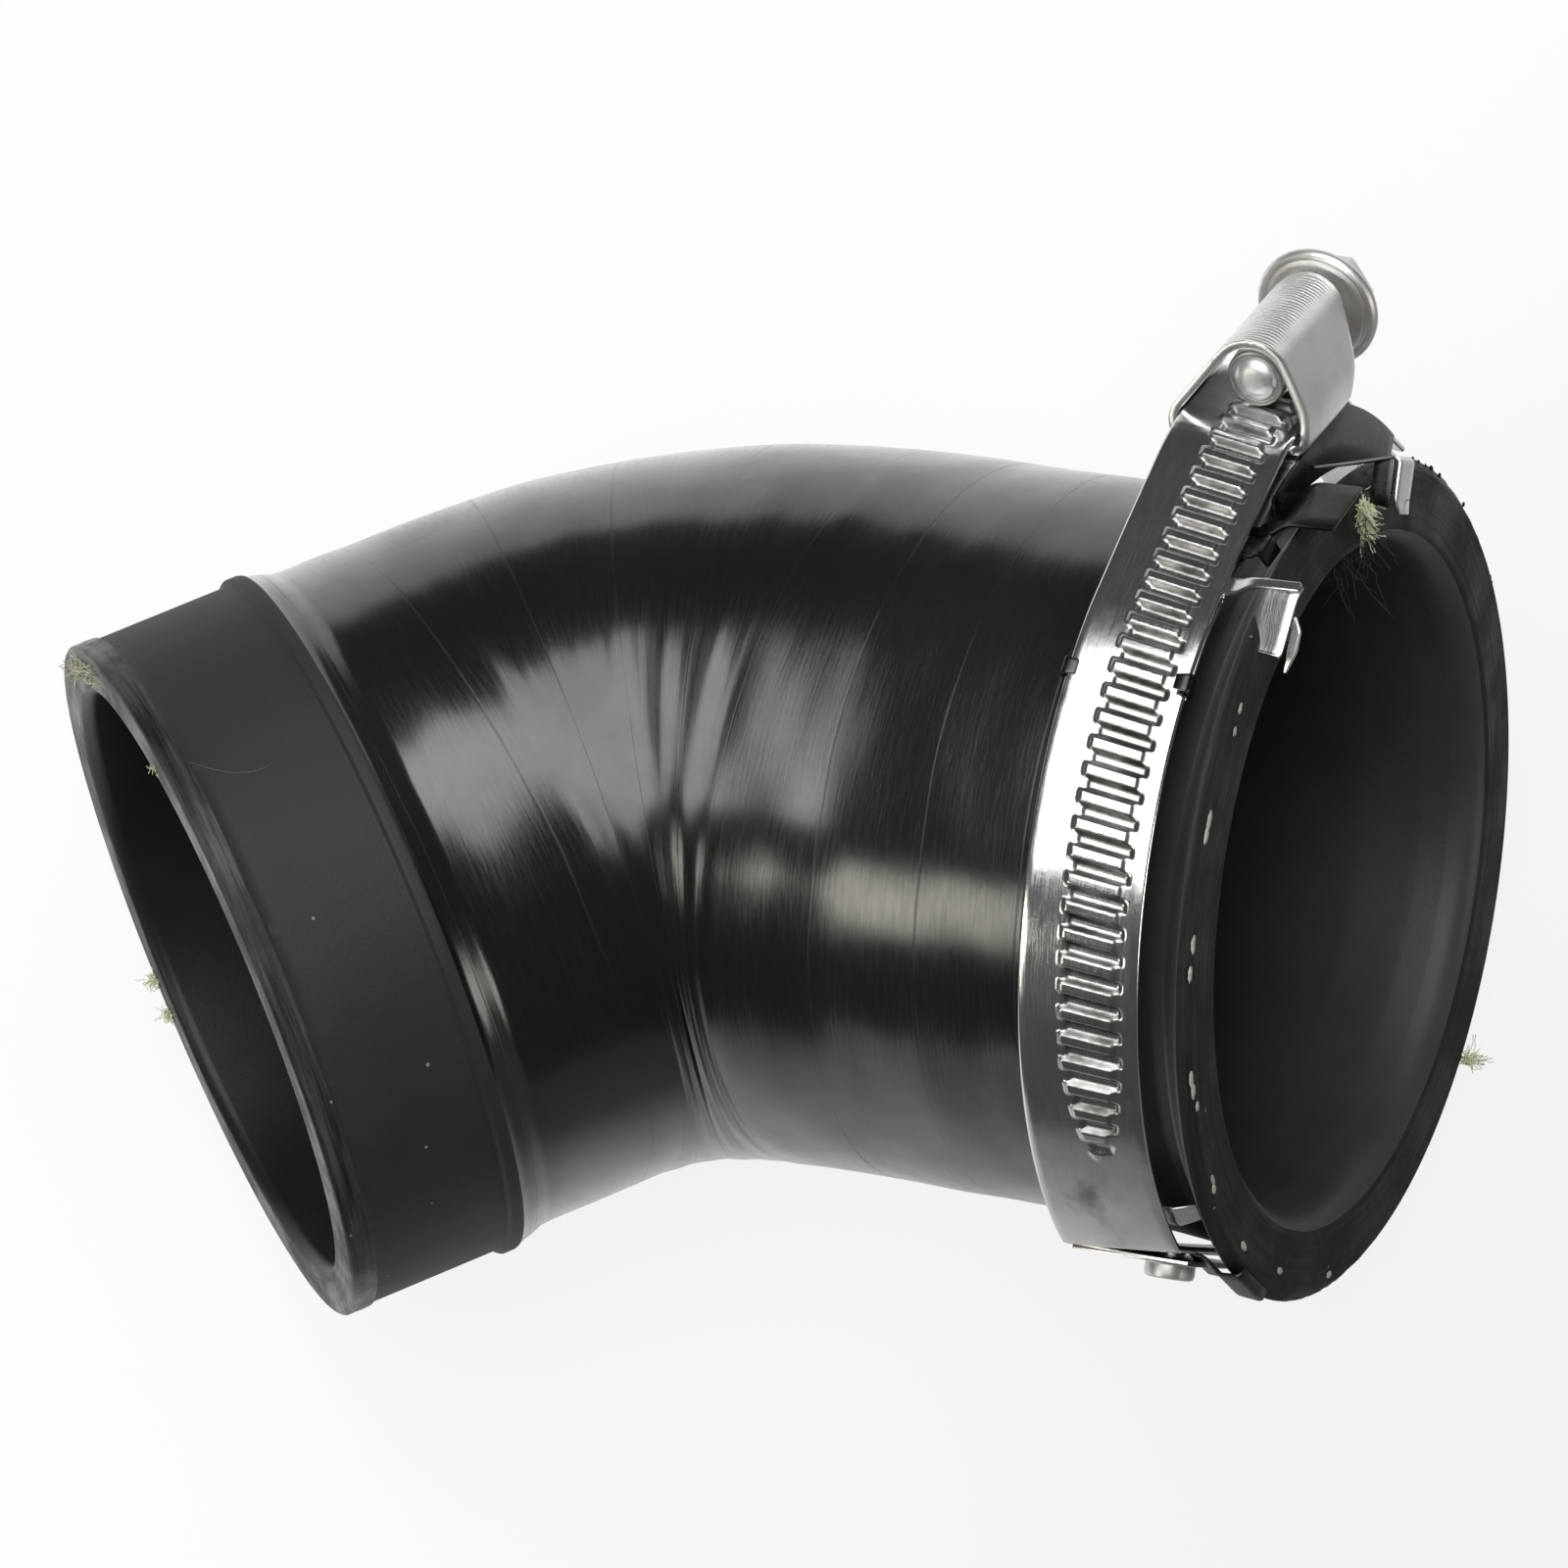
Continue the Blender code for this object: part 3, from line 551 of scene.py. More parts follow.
@dataclass(frozen=True)
class Finish:
    """A material: its name and what its shader starts from."""

    name: str

    def build(self) -> bpy.types.Material:
        """Return the finished material.

        Returns:
            The material, with its nodes.
        """
        material = bpy.data.materials.new(self.name)
        material.use_nodes = True
        self.dress(Tree(material.node_tree), material.node_tree.nodes["Principled BSDF"])
        return material

    def dress(self, tree: Tree, shader: bpy.types.Node) -> None:
        """Add the material's nodes."""
        raise NotImplementedError

    @staticmethod
    def fed(shader: bpy.types.Node, name: str) -> bpy.types.NodeSocket:
        """Return the output socket that feeds one of the shader's inputs."""
        return shader.inputs[name].links[0].from_socket

    @staticmethod
    def link(tree: Tree, shader: bpy.types.Node, **sockets: object) -> None:
        """Feed or set the shader's inputs.

        Args:
            tree: The material's tree.
            shader: The node that is fed.
            **sockets: Output sockets or plain values by the input's name, with underscores
                for its spaces.
        """
        for name, value in sockets.items():
            socket = shader.inputs[name.replace("_", " ")]
            if isinstance(value, bpy.types.NodeSocket):
                tree.tree.links.new(value, socket)
            else:
                socket.default_value = value


@dataclass(frozen=True)
class MattRubber(Finish):
    """Matt charcoal rubber with a fine grain, cloudy tone and lint."""

    level: float = 0.03
    roughness: float = 0.62
    lint: float = 0.035
    grain: float = 1.0

    def dress(self, tree: Tree, shader: bpy.types.Node) -> None:
        """Add grain, clouds and lint.

        Args:
            tree: The material's tree.
            shader: Its Principled BSDF node.
        """
        place, _ = tree.places()
        clouds = tree.noise(place, 45.0, 4.0, 0.6)
        grain = tree.noise(place, 2600.0, 2.0, 0.7)
        lint = tree.specks(place, 420.0, 0.09, self.lint)
        cloudy = tree.ramp(clouds, 0.3, 0.7)
        tone = tree.mix(cloudy, grey(self.level * 0.75), grey(self.level * 1.2))
        tone = tree.mix(tree.times(grain, 0.5), tone, grey(self.level * 1.5))
        tone = tree.mix(lint, tone, grey(0.22, 0.04))
        rough = tree.ramp(clouds, 0.2, 0.8, self.roughness - 0.06, self.roughness + 0.08)
        height = tree.plus(grain, tree.times(clouds, 0.6))
        normal = tree.bump(height, 0.00005 * self.grain, 0.8)
        self.link(tree, shader, Base_Color=tone, Roughness=rough, Normal=normal,
                  Specular_IOR_Level=0.35)


@dataclass(frozen=True)
class BoreRubber(MattRubber):
    """Matt rubber of the bore, smoother and paler towards the flared mouth, with painted shade
    deeper inside.
    """

    deep: float = 0.25
    deep_end: float = 0.03
    pale_start: float = 0.064

    def dress(self, tree: Tree, shader: bpy.types.Node) -> None:
        """Darken the matt rubber away from the mouth, as painted shade deep in the bore.

        Args:
            tree: The material's tree.
            shader: Its Principled BSDF node.
        """
        super().dress(tree, shader)
        place, _ = tree.places()
        depth = tree.along(place, tuple(PLACING.way((1.0, 0.0, 0.0))))
        # Painted shade: the colour fades towards black deeper inside the bore.
        near = tree.ramp(depth, self.deep_end, self.pale_start, self.deep)
        tone = tree.mix(near, grey(0.003), self.fed(shader, "Base Color"))
        self.link(tree, shader, Base_Color=tone)


@dataclass(frozen=True)
class WrappedRubber(Finish):
    """Glossy black rubber cured under wound tape: tape edges, streaks and fine scratches."""

    level: float = 0.0065
    roughness: float = 0.175
    tape: float = 10.2

    def tape_edges(self, tree: Tree, place: object, around: object) -> object:
        """Return the mask of the shallow grooves that the tape's edges left.

        Args:
            tree: The material's tree.
            place: Object coordinates.
            around: UV coordinates, with V along the hose.

        Returns:
            The output socket.
        """
        drift = tree.times(tree.noise(tree.stretched(around, (1.0, 0.5, 1.0)), 1.4), 0.022)
        turns = tree.times(tree.plus(tree.split(around)[1], drift), 100.0 / self.tape)
        edge = tree.math("ABSOLUTE", tree.math("SUBTRACT", tree.math("FRACT", turns), 0.5))
        fade = tree.ramp(tree.noise(place, 30.0, 3.0), 0.4, 0.6, 0.25)
        return tree.times(tree.ramp(edge, 0.0, 0.018, 0.7, 0.0), fade)

    def dress(self, tree: Tree, shader: bpy.types.Node) -> None:
        """Add the tape's edges, the streaks along it, scratches and dust.

        Args:
            tree: The material's tree.
            shader: Its Principled BSDF node.
        """
        place, around = tree.places()
        inputs = {"Vector": around, "Fineness": 26.0}
        streaks = tree.add("ShaderNodeGroup", inputs, node_tree=GROUPS["streaks"]).outputs
        groove = self.tape_edges(tree, place, around)
        dust = tree.specks(place, 300.0, 0.07, 0.03)
        scratch = tree.times(streaks["Lines"], tree.ramp(tree.noise(place, 60.0, 2.0), 0.5, 0.7))
        slow = tree.ramp(tree.noise(place, 18.0, 2.0), 0.35, 0.65)
        tone = tree.mix(slow, grey(self.level, -0.05), grey(self.level * 1.8, -0.03))
        tone = tree.mix(tree.times(scratch, 0.14), tone, grey(0.05))
        tone = tree.mix(tree.times(dust, 0.7), tone, grey(0.16))
        tone = tree.mix(groove, tone, grey(0.002))
        low, high = self.roughness - 0.04, self.roughness + 0.08
        rough = tree.ramp(streaks["Height"], 0.3, 0.7, low, high)
        rough = tree.plus(rough, tree.times(groove, 0.4), clamp=True)
        ripple = tree.bump(streaks["Height"], 0.00006, 0.26)
        waves = tree.bump(tree.noise(place, 55.0, 2.0), 0.00035, 0.5, ripple)
        normal = tree.bump(tree.times(groove, -1.0), 0.00005, 0.45, waves)
        bloom = tree.ramp(tree.noise(place, 40.0, 5.0, 0.62), 0.34, 0.64, 0.5)
        self.link(tree, shader, Base_Color=tone, Roughness=rough, Normal=normal,
                  Coat_Weight=bloom, Coat_Roughness=self.roughness, Coat_IOR=1.5)


@dataclass(frozen=True)
class CutRubber(Finish):
    """Cut face of the rubber: knife marks round the wall and pale dust."""

    level: float = 0.03
    roughness: float = 0.6
    bright: float = 0.06

    def dress(self, tree: Tree, shader: bpy.types.Node) -> None:
        """Add knife marks round the wall, clouds and crumbs.

        Args:
            tree: The material's tree.
            shader: Its Principled BSDF node.
        """
        place, around = tree.places()
        marks = tree.noise(tree.stretched(around, (1.5, 26.0, 1.0)), 5.0, 4.0, 0.65)
        clouds = tree.noise(place, 120.0, 4.0, 0.6)
        crumbs = tree.specks(place, 700.0, 0.12, 0.05)
        tone = tree.mix(tree.ramp(marks, 0.35, 0.7), grey(self.level * 0.6), grey(self.bright))
        tone = tree.mix(tree.ramp(clouds, 0.4, 0.7, 0.0, 0.6), tone, grey(self.level))
        tone = tree.mix(crumbs, tone, grey(0.2, 0.05))
        rough = tree.ramp(clouds, 0.3, 0.7, self.roughness - 0.15, self.roughness + 0.15)
        normal = tree.bump(tree.plus(marks, clouds), 0.0002, 0.8)
        self.link(tree, shader, Base_Color=tone, Roughness=rough, Normal=normal,
                  Specular_IOR_Level=0.22)


@dataclass(frozen=True)
class Steel(Finish):
    """Stainless steel sheet: its polish, rolling streaks, handling marks and tarnish."""

    level: float = 0.6
    roughness: float = 0.12
    streak: float = 0.05
    tarnish: float = 0.0
    dent: float = 0.00003

    def dress(self, tree: Tree, shader: bpy.types.Node) -> None:
        """Add streaks, smudges and tarnish.

        Args:
            tree: The material's tree.
            shader: Its Principled BSDF node.
        """
        place, around = tree.places()
        rolled = tree.noise(tree.stretched(around, (90.0, 3.0, 1.0)), 8.0, 3.0, 0.6)
        smudge = tree.noise(place, 160.0, 4.0, 0.6)
        pits = tree.noise(place, 1500.0, 2.0, 0.6)
        brown = (self.level * 0.62, self.level * 0.47, self.level * 0.33, 1.0)
        worn = grey(self.level * 0.82, 0.015)
        tone = tree.mix(tree.ramp(smudge, 0.35, 0.75), grey(self.level), worn)
        tone = tree.mix(tree.times(tree.ramp(smudge, 0.52, 0.72), self.tarnish), tone, brown)
        low, high = self.roughness - self.streak / 2, self.roughness + self.streak
        rough = tree.plus(tree.ramp(rolled, 0.3, 0.7, low, high), tree.times(smudge, 0.08), True)
        height = tree.plus(tree.times(rolled, 0.3), tree.times(pits, 0.25))
        height = tree.plus(height, tree.noise(place, 260.0, 1.0))
        normal = tree.bump(height, self.dent, 0.6)
        self.link(tree, shader, Base_Color=tone, Roughness=rough, Normal=normal, Metallic=1.0)


@dataclass(frozen=True)
class ToothedSteel(Steel):
    """Polished strip darkened on the flanks and in the valleys of its teeth: painted shade, with
    some grime.
    """

    def dress(self, tree: Tree, shader: bpy.types.Node) -> None:
        """Add the teeth's painted shade and grime, and some smears, to the sheet's own marks.

        Args:
            tree: The material's tree.
            shader: Its Principled BSDF node.
        """
        super().dress(tree, shader)
        place, _ = tree.places()
        # Painted shade and grime: the teeth's flanks and valleys darken to a brownish black.
        shade = tree.add("ShaderNodeAttribute", attribute_name="grime_and_shade").outputs["Fac"]
        grime_and_shade = tree.times(shade, tree.ramp(tree.noise(place, 300.0, 3.0), 0.3, 0.7, 0.6))
        smears = tree.noise(tree.stretched(place, (1.0, 1.0, 0.6)), 150.0, 3.0, 0.55)
        smears = tree.ramp(smears, 0.6, 0.84, 0.0, 0.8)
        tone = tree.mix(smears, self.fed(shader, "Base Color"), grey(0.12, -0.05))
        tone = tree.mix(grime_and_shade, tone, (0.035, 0.032, 0.024, 1.0))
        rough = tree.plus(self.fed(shader, "Roughness"), tree.times(grime_and_shade, 0.3), clamp=True)
        self.link(tree, shader, Base_Color=tone, Roughness=rough)


@dataclass(frozen=True)
class RidgedSteel(Steel):
    """Satin sheet steel with fine wavy ridges pressed across its roof."""

    ridges: float = 0.45
    roof_middle: float = 0.175
    roof_edge: float = 0.028
    roof_end: float = 0.05

    def dress(self, tree: Tree, shader: bpy.types.Node) -> None:
        """Add the ridges to the sheet's own marks.

        Args:
            tree: The material's tree.
            shader: Its Principled BSDF node.
        """
        super().dress(tree, shader)
        _, around = tree.places()
        across, along, _ = tree.split(around)
        drift = tree.times(tree.noise(tree.stretched(around, (30.0, 30.0, 1.0)), 1.2), 0.008)
        wave = tree.math("SINE", tree.times(tree.plus(along, drift), 628.0 / self.ridges))
        beside = tree.math("ABSOLUTE", tree.math("SUBTRACT", across, self.roof_middle))
        ridge = tree.times(wave, tree.ramp(beside, self.roof_edge, self.roof_end, 1.0, 0.0))
        self.link(tree, shader, Normal=tree.bump(ridge, 0.00004, 0.7, self.fed(shader, "Normal")))


@dataclass(frozen=True)
class Yarn(Finish):
    """Cream textile yarn, cut and dusty."""

    colour: tuple = (0.62, 0.6, 0.44)
    dirty: float = 0.7

    def dress(self, tree: Tree, shader: bpy.types.Node) -> None:
        """Add uneven dirt and a fuzzy grain.

        Args:
            tree: The material's tree.
            shader: Its Principled BSDF node.
        """
        place, _ = tree.places()
        dirt = tree.noise(place, 700.0, 3.0, 0.6)
        fibres = tree.noise(place, 4000.0, 2.0, 0.7)
        dark = tuple(self.dirty * channel for channel in self.colour)
        tone = tree.mix(tree.ramp(dirt, 0.35, 0.7), (*self.colour, 1.0), (*dark, 1.0))
        rough = tree.ramp(dirt, 0.2, 0.8, 0.7, 0.95)
        self.link(tree, shader, Base_Color=tone, Roughness=rough,
                  Normal=tree.bump(fibres, 0.0001, 0.8))


# Hose


def tube_row(inside: np.ndarray, outside: np.ndarray, height: float) -> np.ndarray:
    """Return one row of the tube: the ellipse through two points of the bend's plane.

    Args:
        inside: The point on the inside of the bend.
        outside: The point across from it.
        height: The ellipse's other half axis, square to the bend's plane.

    Returns:
        The points of the row; the last is the first again.
    """
    turn = np.linspace(-math.pi / 2, 1.5 * math.pi, SEGMENTS + 1)[:, None]
    middle = (inside + outside) / 2
    reach = (outside - inside) / 2
    return middle + reach * np.cos(turn) + np.array([0.0, 0.0, height]) * np.sin(turn)


def rows_between(first: np.ndarray, last: np.ndarray, count: int) -> list:
    """Return rows along the straight stretch between two rows, without those two."""
    shares = np.linspace(0.0, 1.0, count + 2)[1:-1]
    return [first * (1 - share) + last * share for share in shares]


def smoothed(values: np.ndarray, count: int = 9) -> np.ndarray:
    """Return values along the hose, smoothed over a count of rows."""
    return np.convolve(values, np.hanning(count) / np.hanning(count).sum(), "same")


@dataclass
class Leg:
    """One straight leg of the hose, from the crossing of the axes."""

    way: np.ndarray
    out: np.ndarray

    def row(self, place: float, radius: float) -> np.ndarray:
        """Return the row at a distance along the leg."""
        centre = self.way * place
        return tube_row(centre - self.out * radius, centre + self.out * radius, radius)

    def rows(self, profile: list, step: float) -> list:
        """Return rows that follow a profile.

        Args:
            profile: Corners of the profile, each as a place along the leg and a radius.
            step: How far apart the rows are, at most.

        Returns:
            The rows, with one at each corner of the profile.
        """
        line = np.array(profile, dtype=float)
        lengths = path_lengths(line)
        count = max(2, int(lengths[-1] / step) + 1)
        places = np.unique(np.concatenate([np.linspace(0.0, lengths[-1], count), lengths]))
        return [self.row(place, radius) for place, radius in resample(line, places)]


MOUTH_LEG = Leg(np.array([1.0, 0.0, 0.0]), np.array([0.0, 1.0, 0.0]))
CUFF_LEG = Leg(
    np.array([-math.cos(BEND), -math.sin(BEND), 0.0]),
    np.array([-math.sin(BEND), math.cos(BEND), 0.0]),
)


class Zone(Enum):
    """The hose's surfaces, in the order of its material slots."""

    CUT_END = 0
    GROUND = 1
    CUFF = 2
    BODY = 3
    SEAT = 4
    CUT_MOUTH = 5
    BORE = 6


@dataclass
class Hose:
    """The moulded rubber elbow, lofted row by row from the cuff's bore round to itself."""

    cut_middle: float = 31.2
    cuff_bore: float = CUFF_RADIUS - WALL
    bore: float = BODY_RADIUS - WALL
    ring_rise: float = 0.25
    swell: float = 0.16
    ripple: float = 0.035
    crease: float = 0.3
    crease_place: float = 1.5
    crease_width: float = 1.5
    crease_turn: float = 0.3
    waist: tuple = ((5.0, 0.0), (12.0, 0.06), (31.0, 1.0), (34.0, 1.0), (50.0, 0.2), (52.0, 0.0))
    waist_turn: float = 0.75 * math.pi
    torn_rim: tuple = ((61.0, 0.09), (173.0, 0.05))
    rough_ring: float = 0.05
    rows: list = field(default_factory=list)
    zones: list = field(default_factory=list)

    def add(self, zone: Zone, rows: list) -> None:
        """Add rows whose faces, up to the row before, are of one zone."""
        self.rows += rows
        self.zones += [zone.value] * len(rows)

    def bend_rows(self, cuff_radius: float, body_radius: float, inset: float, steps: int) -> list:
        """Return rows through the bend, from the cuff leg to the mouth leg.

        Args:
            cuff_radius: Radius where the bend leaves the cuff leg.
            body_radius: Radius where it meets the mouth leg.
            inset: How far the surface lies inside the hose's outside.
            steps: Steps between the two legs.

        Returns:
            The rows.
        """
        inner_bend = INNER_BEND_RADIUS + inset
        outer_bend = OUTER_BEND_RADIUS - inset
        slope = math.tan(BEND / 2)
        centres = []
        for leg, radius in ((CUFF_LEG, cuff_radius), (MOUTH_LEG, body_radius)):
            inner = leg.way * (radius + inner_bend) * slope - leg.out * (radius + inner_bend)
            outer = leg.way * (outer_bend - radius) * slope - leg.out * (outer_bend - radius)
            centres.append((inner, outer))
        rows = []
        for share in np.linspace(0.0, 1.0, steps + 1):
            left = 1 - share
            out = CUFF_LEG.out * math.sin(BEND * left) + MOUTH_LEG.out * math.sin(BEND * share)
            out = out / math.sin(BEND)
            inside = centres[0][0] * left + centres[1][0] * share + out * inner_bend
            outside = centres[0][1] * left + centres[1][1] * share + out * outer_bend
            rows.append(tube_row(inside, outside, cuff_radius * left + body_radius * share))
        return rows

    def cuff_rows(self) -> None:
        """Add the cut end, the ground ring, the cuff and its rolled lip."""
        end = CUFF_LENGTH
        ring = CUFF_RADIUS + self.ring_rise
        ring_end = end - RING_WIDTH
        lip = ring_end - CUFF_WIDTH
        lip_end = lip - LIP_WIDTH
        top = CUFF_RADIUS + LIP_HEIGHT
        profiles = (
            (Zone.CUT_END, 0.5, [(end, self.cut_middle), (end, ring - 0.45)]),
            (Zone.GROUND, 0.3, [(end - 0.05, ring - 0.2), (end - 0.25, ring), (ring_end, ring),
                                (ring_end - 0.12, ring - 0.05)]),
            (Zone.CUFF, 1.0, [(ring_end - 0.3, CUFF_RADIUS), (lip + 0.35, CUFF_RADIUS),
                              (lip + 0.2, CUFF_RADIUS + 0.06), (lip + 0.05, top - 0.12),
                              (lip - 0.1, top)]),
            (Zone.CUFF, 0.4, [(lip - 0.1, top), (lip_end + 0.35, top),
                              (lip_end + 0.1, top - 0.08)]),
            (Zone.BODY, 0.8, [(lip_end - 0.1, top - 0.25), (lip_end - 0.6, top - 0.45),
                              (lip_end - 1.6, top - 0.72), (lip_end - 3.0, CUFF_BODY_RADIUS + 0.08),
                              (lip_end - 5.0, CUFF_BODY_RADIUS)]),
        )
        for zone, step, profile in profiles:
            self.add(zone, CUFF_LEG.rows(profile, step))

    def outer_rows(self) -> None:
        """Add the outside, from the cuff's cut end to the edge of the mouth."""
        self.cuff_rows()
        edge = MOUTH_LENGTH - 1.0
        flare = edge - 3.5
        seat = flare - 14.0
        start = seat - 6.0
        bend = self.bend_rows(CUFF_BODY_RADIUS, BODY_RADIUS, 0.0, 64)
        self.add(Zone.BODY, rows_between(self.rows[-1], bend[0], 8))
        self.add(Zone.BODY, bend)
        self.add(Zone.BODY, rows_between(bend[-1], MOUTH_LEG.row(start, BODY_RADIUS), 22))
        self.add(Zone.BODY, MOUTH_LEG.rows([(start, BODY_RADIUS), (seat, BODY_RADIUS)], 1.2))
        seat_rows = [(seat + 3.5, BODY_RADIUS + 0.15), (seat + 7.0, BODY_RADIUS + 0.4),
                     (flare - 1.0, SEAT_END_RADIUS - 0.1)]
        for past, share in ((0.5, 0.08), (1.4, 0.3), (2.4, 0.72)):
            radius = SEAT_END_RADIUS + (MOUTH_RADIUS - SEAT_END_RADIUS) * share
            seat_rows.append((flare + past, radius))
        seat_rows += [(flare + 3.2, MOUTH_RADIUS - 0.1), (edge - 0.1, MOUTH_RADIUS)]
        self.add(Zone.SEAT, MOUTH_LEG.rows(seat_rows, 0.7))

    def inner_rows(self) -> None:
        """Add the mouth's cut face and the bore, back to the cuff's cut end."""
        end = MOUTH_LENGTH
        face = [(end - 0.9, MOUTH_RADIUS - 0.05), (end - 0.25, MOUTH_RADIUS - 0.75),
                (end, MOUTH_RADIUS - 1.1), (end, MOUTH_BORE_RADIUS + 0.5),
                (end - 0.2, MOUTH_BORE_RADIUS)]
        self.add(Zone.CUT_MOUTH, MOUTH_LEG.rows(face, 0.4))
        rise = MOUTH_BORE_RADIUS - self.bore
        flare = [(end - deep, self.bore + rise * share)
                 for deep, share in ((1.0, 0.7), (3.0, 0.48), (6.0, 0.3), (12.0, 0.1), (20.0, 0.0))]
        self.add(Zone.BORE, MOUTH_LEG.rows(flare, 1.2))
        inner = CUFF_BODY_RADIUS - WALL
        self.add(Zone.BORE, self.bend_rows(inner, self.bore, WALL, 32)[::-1])
        cuff = [(29.2, inner), (CUFF_LENGTH - 17.0, self.cuff_bore),
                (CUFF_LENGTH - 0.9, self.cuff_bore + 0.02),
                (CUFF_LENGTH - 0.1, self.cuff_bore + 0.6)]
        self.add(Zone.BORE, CUFF_LEG.rows(cuff, 1.5))
        self.add(Zone.CUT_END, [CUFF_LEG.row(CUFF_LENGTH, self.cut_middle)])

    def body_growth(self, centres: np.ndarray, turn: np.ndarray, along: np.ndarray,
                    body: np.ndarray) -> np.ndarray:
        """Return how far the wrapped surface stands out: its swell, crease and waist.

        Args:
            centres: The middle of each row.
            turn: Angles round the hose.
            along: How far along the surface each row is.
            body: Which rows are of the wrapped body, as a column.

        Returns:
            A height for each point, 0 off the body.
        """
        swell = self.swell * wobble(along / 5.0 + 1.2 * np.sin(turn), turn * 2.0)
        ripple = self.ripple * wobble(along / 1.15 + 0.6 * np.cos(2 * turn), turn)
        soft = np.minimum(smoothed(body[:, 0].astype(float)), 1.0)[:, None]
        inner = np.abs(np.angle(np.exp(1j * (turn - math.pi))))
        skew = (centres @ (MOUTH_LEG.way - CUFF_LEG.way))[:, None]
        crease = np.exp(-((skew + self.crease_place) / self.crease_width) ** 2)
        crease = self.crease * crease * np.exp(-((inner / self.crease_turn) ** 2))
        places, depths = zip(*self.waist)
        waist = smoothed(np.interp(centres[:, 0], places, depths))[:, None]
        waist = waist * (0.5 + 0.5 * np.cos(turn - self.waist_turn)) ** 2
        return np.where(body, (swell + ripple) * soft - crease - waist, 0.0)

    def shape(self, rows: np.ndarray, zones: np.ndarray) -> np.ndarray:
        """Return the rows with the real hose's uneven surface, crease and rough edges.

        Args:
            rows: Rows of points round the hose.
            zones: The zone of each row.

        Returns:
            The rows, with each point moved in or out.
        """
        turn = np.linspace(-math.pi / 2, 1.5 * math.pi, SEGMENTS + 1)[None, :]
        centres = rows[:, :-1].mean(axis=1)[:, None, :]
        out = rows - centres
        radii = np.linalg.norm(out, axis=2)
        along = path_lengths(centres[:, 0, :])[:, None]
        is_zone = {zone: (zones == zone.value)[:, None] for zone in Zone}
        growth = self.body_growth(centres[:, 0, :], turn, along, is_zone[Zone.BODY])
        rim = is_zone[Zone.CUT_MOUTH] & (radii > MOUTH_RADIUS - 0.95)
        torn = sum(depth * wobble(turn * pace) for pace, depth in self.torn_rim)
        ground = is_zone[Zone.GROUND] & (radii > CUFF_RADIUS)
        rough = self.rough_ring * wobble(turn * 37.0, along * 3.0)
        growth = growth + np.where(rim, torn, 0.0) + np.where(ground, rough, 0.0)
        shaped = rows + out / radii[:, :, None] * growth[:, :, None]
        shaped[:, -1] = shaped[:, 0]
        return shaped

    def build(self, finishes: list) -> bpy.types.Object:
        """Return the hose.

        Args:
            finishes: A material for each zone, in order.

        Returns:
            The finished piece.
        """
        self.outer_rows()
        self.inner_rows()
        rows = np.array(self.rows)
        zones = np.array(self.zones)
        steps = np.linalg.norm(np.diff(rows, axis=0), axis=2).max(axis=1)
        keep = np.concatenate([[True], steps > 0.004])
        rows = rows[keep]
        zones = zones[keep]
        item = lay_grid("hose_rubber", self.shape(rows, zones))
        for finish in finishes:
            item.data.materials.append(finish)
        faces = np.repeat(zones[1:], SEGMENTS).astype(np.int32)
        item.data.polygons.foreach_set("material_index", faces)
        clean(item, 50.0)
        LOG.info("hose: %d faces", len(item.data.polygons))
        return adopt(item, Body.ROOT, Slot.RUBBER, "hose")


# Clamp


def sheet(item: bpy.types.Object, thickness: float, edge: float, angle: float = 40.0) -> None:
    """Turn an open grid into sheet with softened edges.

    Args:
        item: The open grid.
        thickness: The sheet's thickness, in mm.
        edge: Width of the softened edges, in mm.
        angle: Smallest angle between faces, in degrees, that stays sharp.
    """
    apply_modifier(item, "SOLIDIFY", thickness=thickness * MM, offset=0.0, use_even_offset=True)
    apply_modifier(item, "BEVEL", width=edge * MM, segments=2, limit_method="ANGLE",
                   angle_limit=math.radians(55))
    clean(item, angle)


def strip_section(middle: np.ndarray, out: np.ndarray, thickness: float) -> np.ndarray:
    """Return the closed skin of a strip of sheet with round edges and flat ends.

    Args:
        middle: Rows along the strip of columns across its middle surface.
        out: The direction away from the sheet at each of those points.
        thickness: The sheet's thickness.

    Returns:
        Rows of columns of points, where the last column is the first again.
    """
    half = thickness / 2
    side = middle[:, -1] - middle[:, 0]
    side = side / np.maximum(np.linalg.norm(side, axis=1), 1e-9)[:, None]
    turns = np.radians([60.0, 30.0, 0.0, -30.0, -60.0])
    columns = []
    for end, sign in ((-1, 1), (0, -1)):
        columns.append((middle + sign * out * half)[:, ::sign])
        for turn in turns:
            reach = sign * half * (side * math.cos(turn) + out[:, end] * math.sin(turn))
            columns.append((middle[:, end] + reach)[:, None, :])
    skin = np.concatenate(columns + [columns[0][:, :1]], axis=1)
    ends = []
    for line in (middle[0], middle[-1]):
        edge = [line[-1:]] * len(turns)
        other = [line[:1]] * len(turns)
        ends.append(np.concatenate([line, *edge, line[::-1], *other, line[:1]])[None])
    return np.concatenate([ends[0], skin, ends[1]])


def ring_place(angle: float, radius: float, x: float) -> Matrix:
    """Return the frame at a place on the ring: x across, y along and z away from its centre."""
    turn = Matrix.Rotation(math.radians(-angle), 4, "X")
    return Matrix.Translation(Vector(radial(angle, radius)) + Vector((x, 0.0, 0.0))) @ turn


def moved(points: np.ndarray, place: Matrix) -> np.ndarray:
    """Return points of a frame as points of the hose's frame."""
    matrix = np.array(place)
    return points @ matrix[:3, :3].T + matrix[:3, 3]


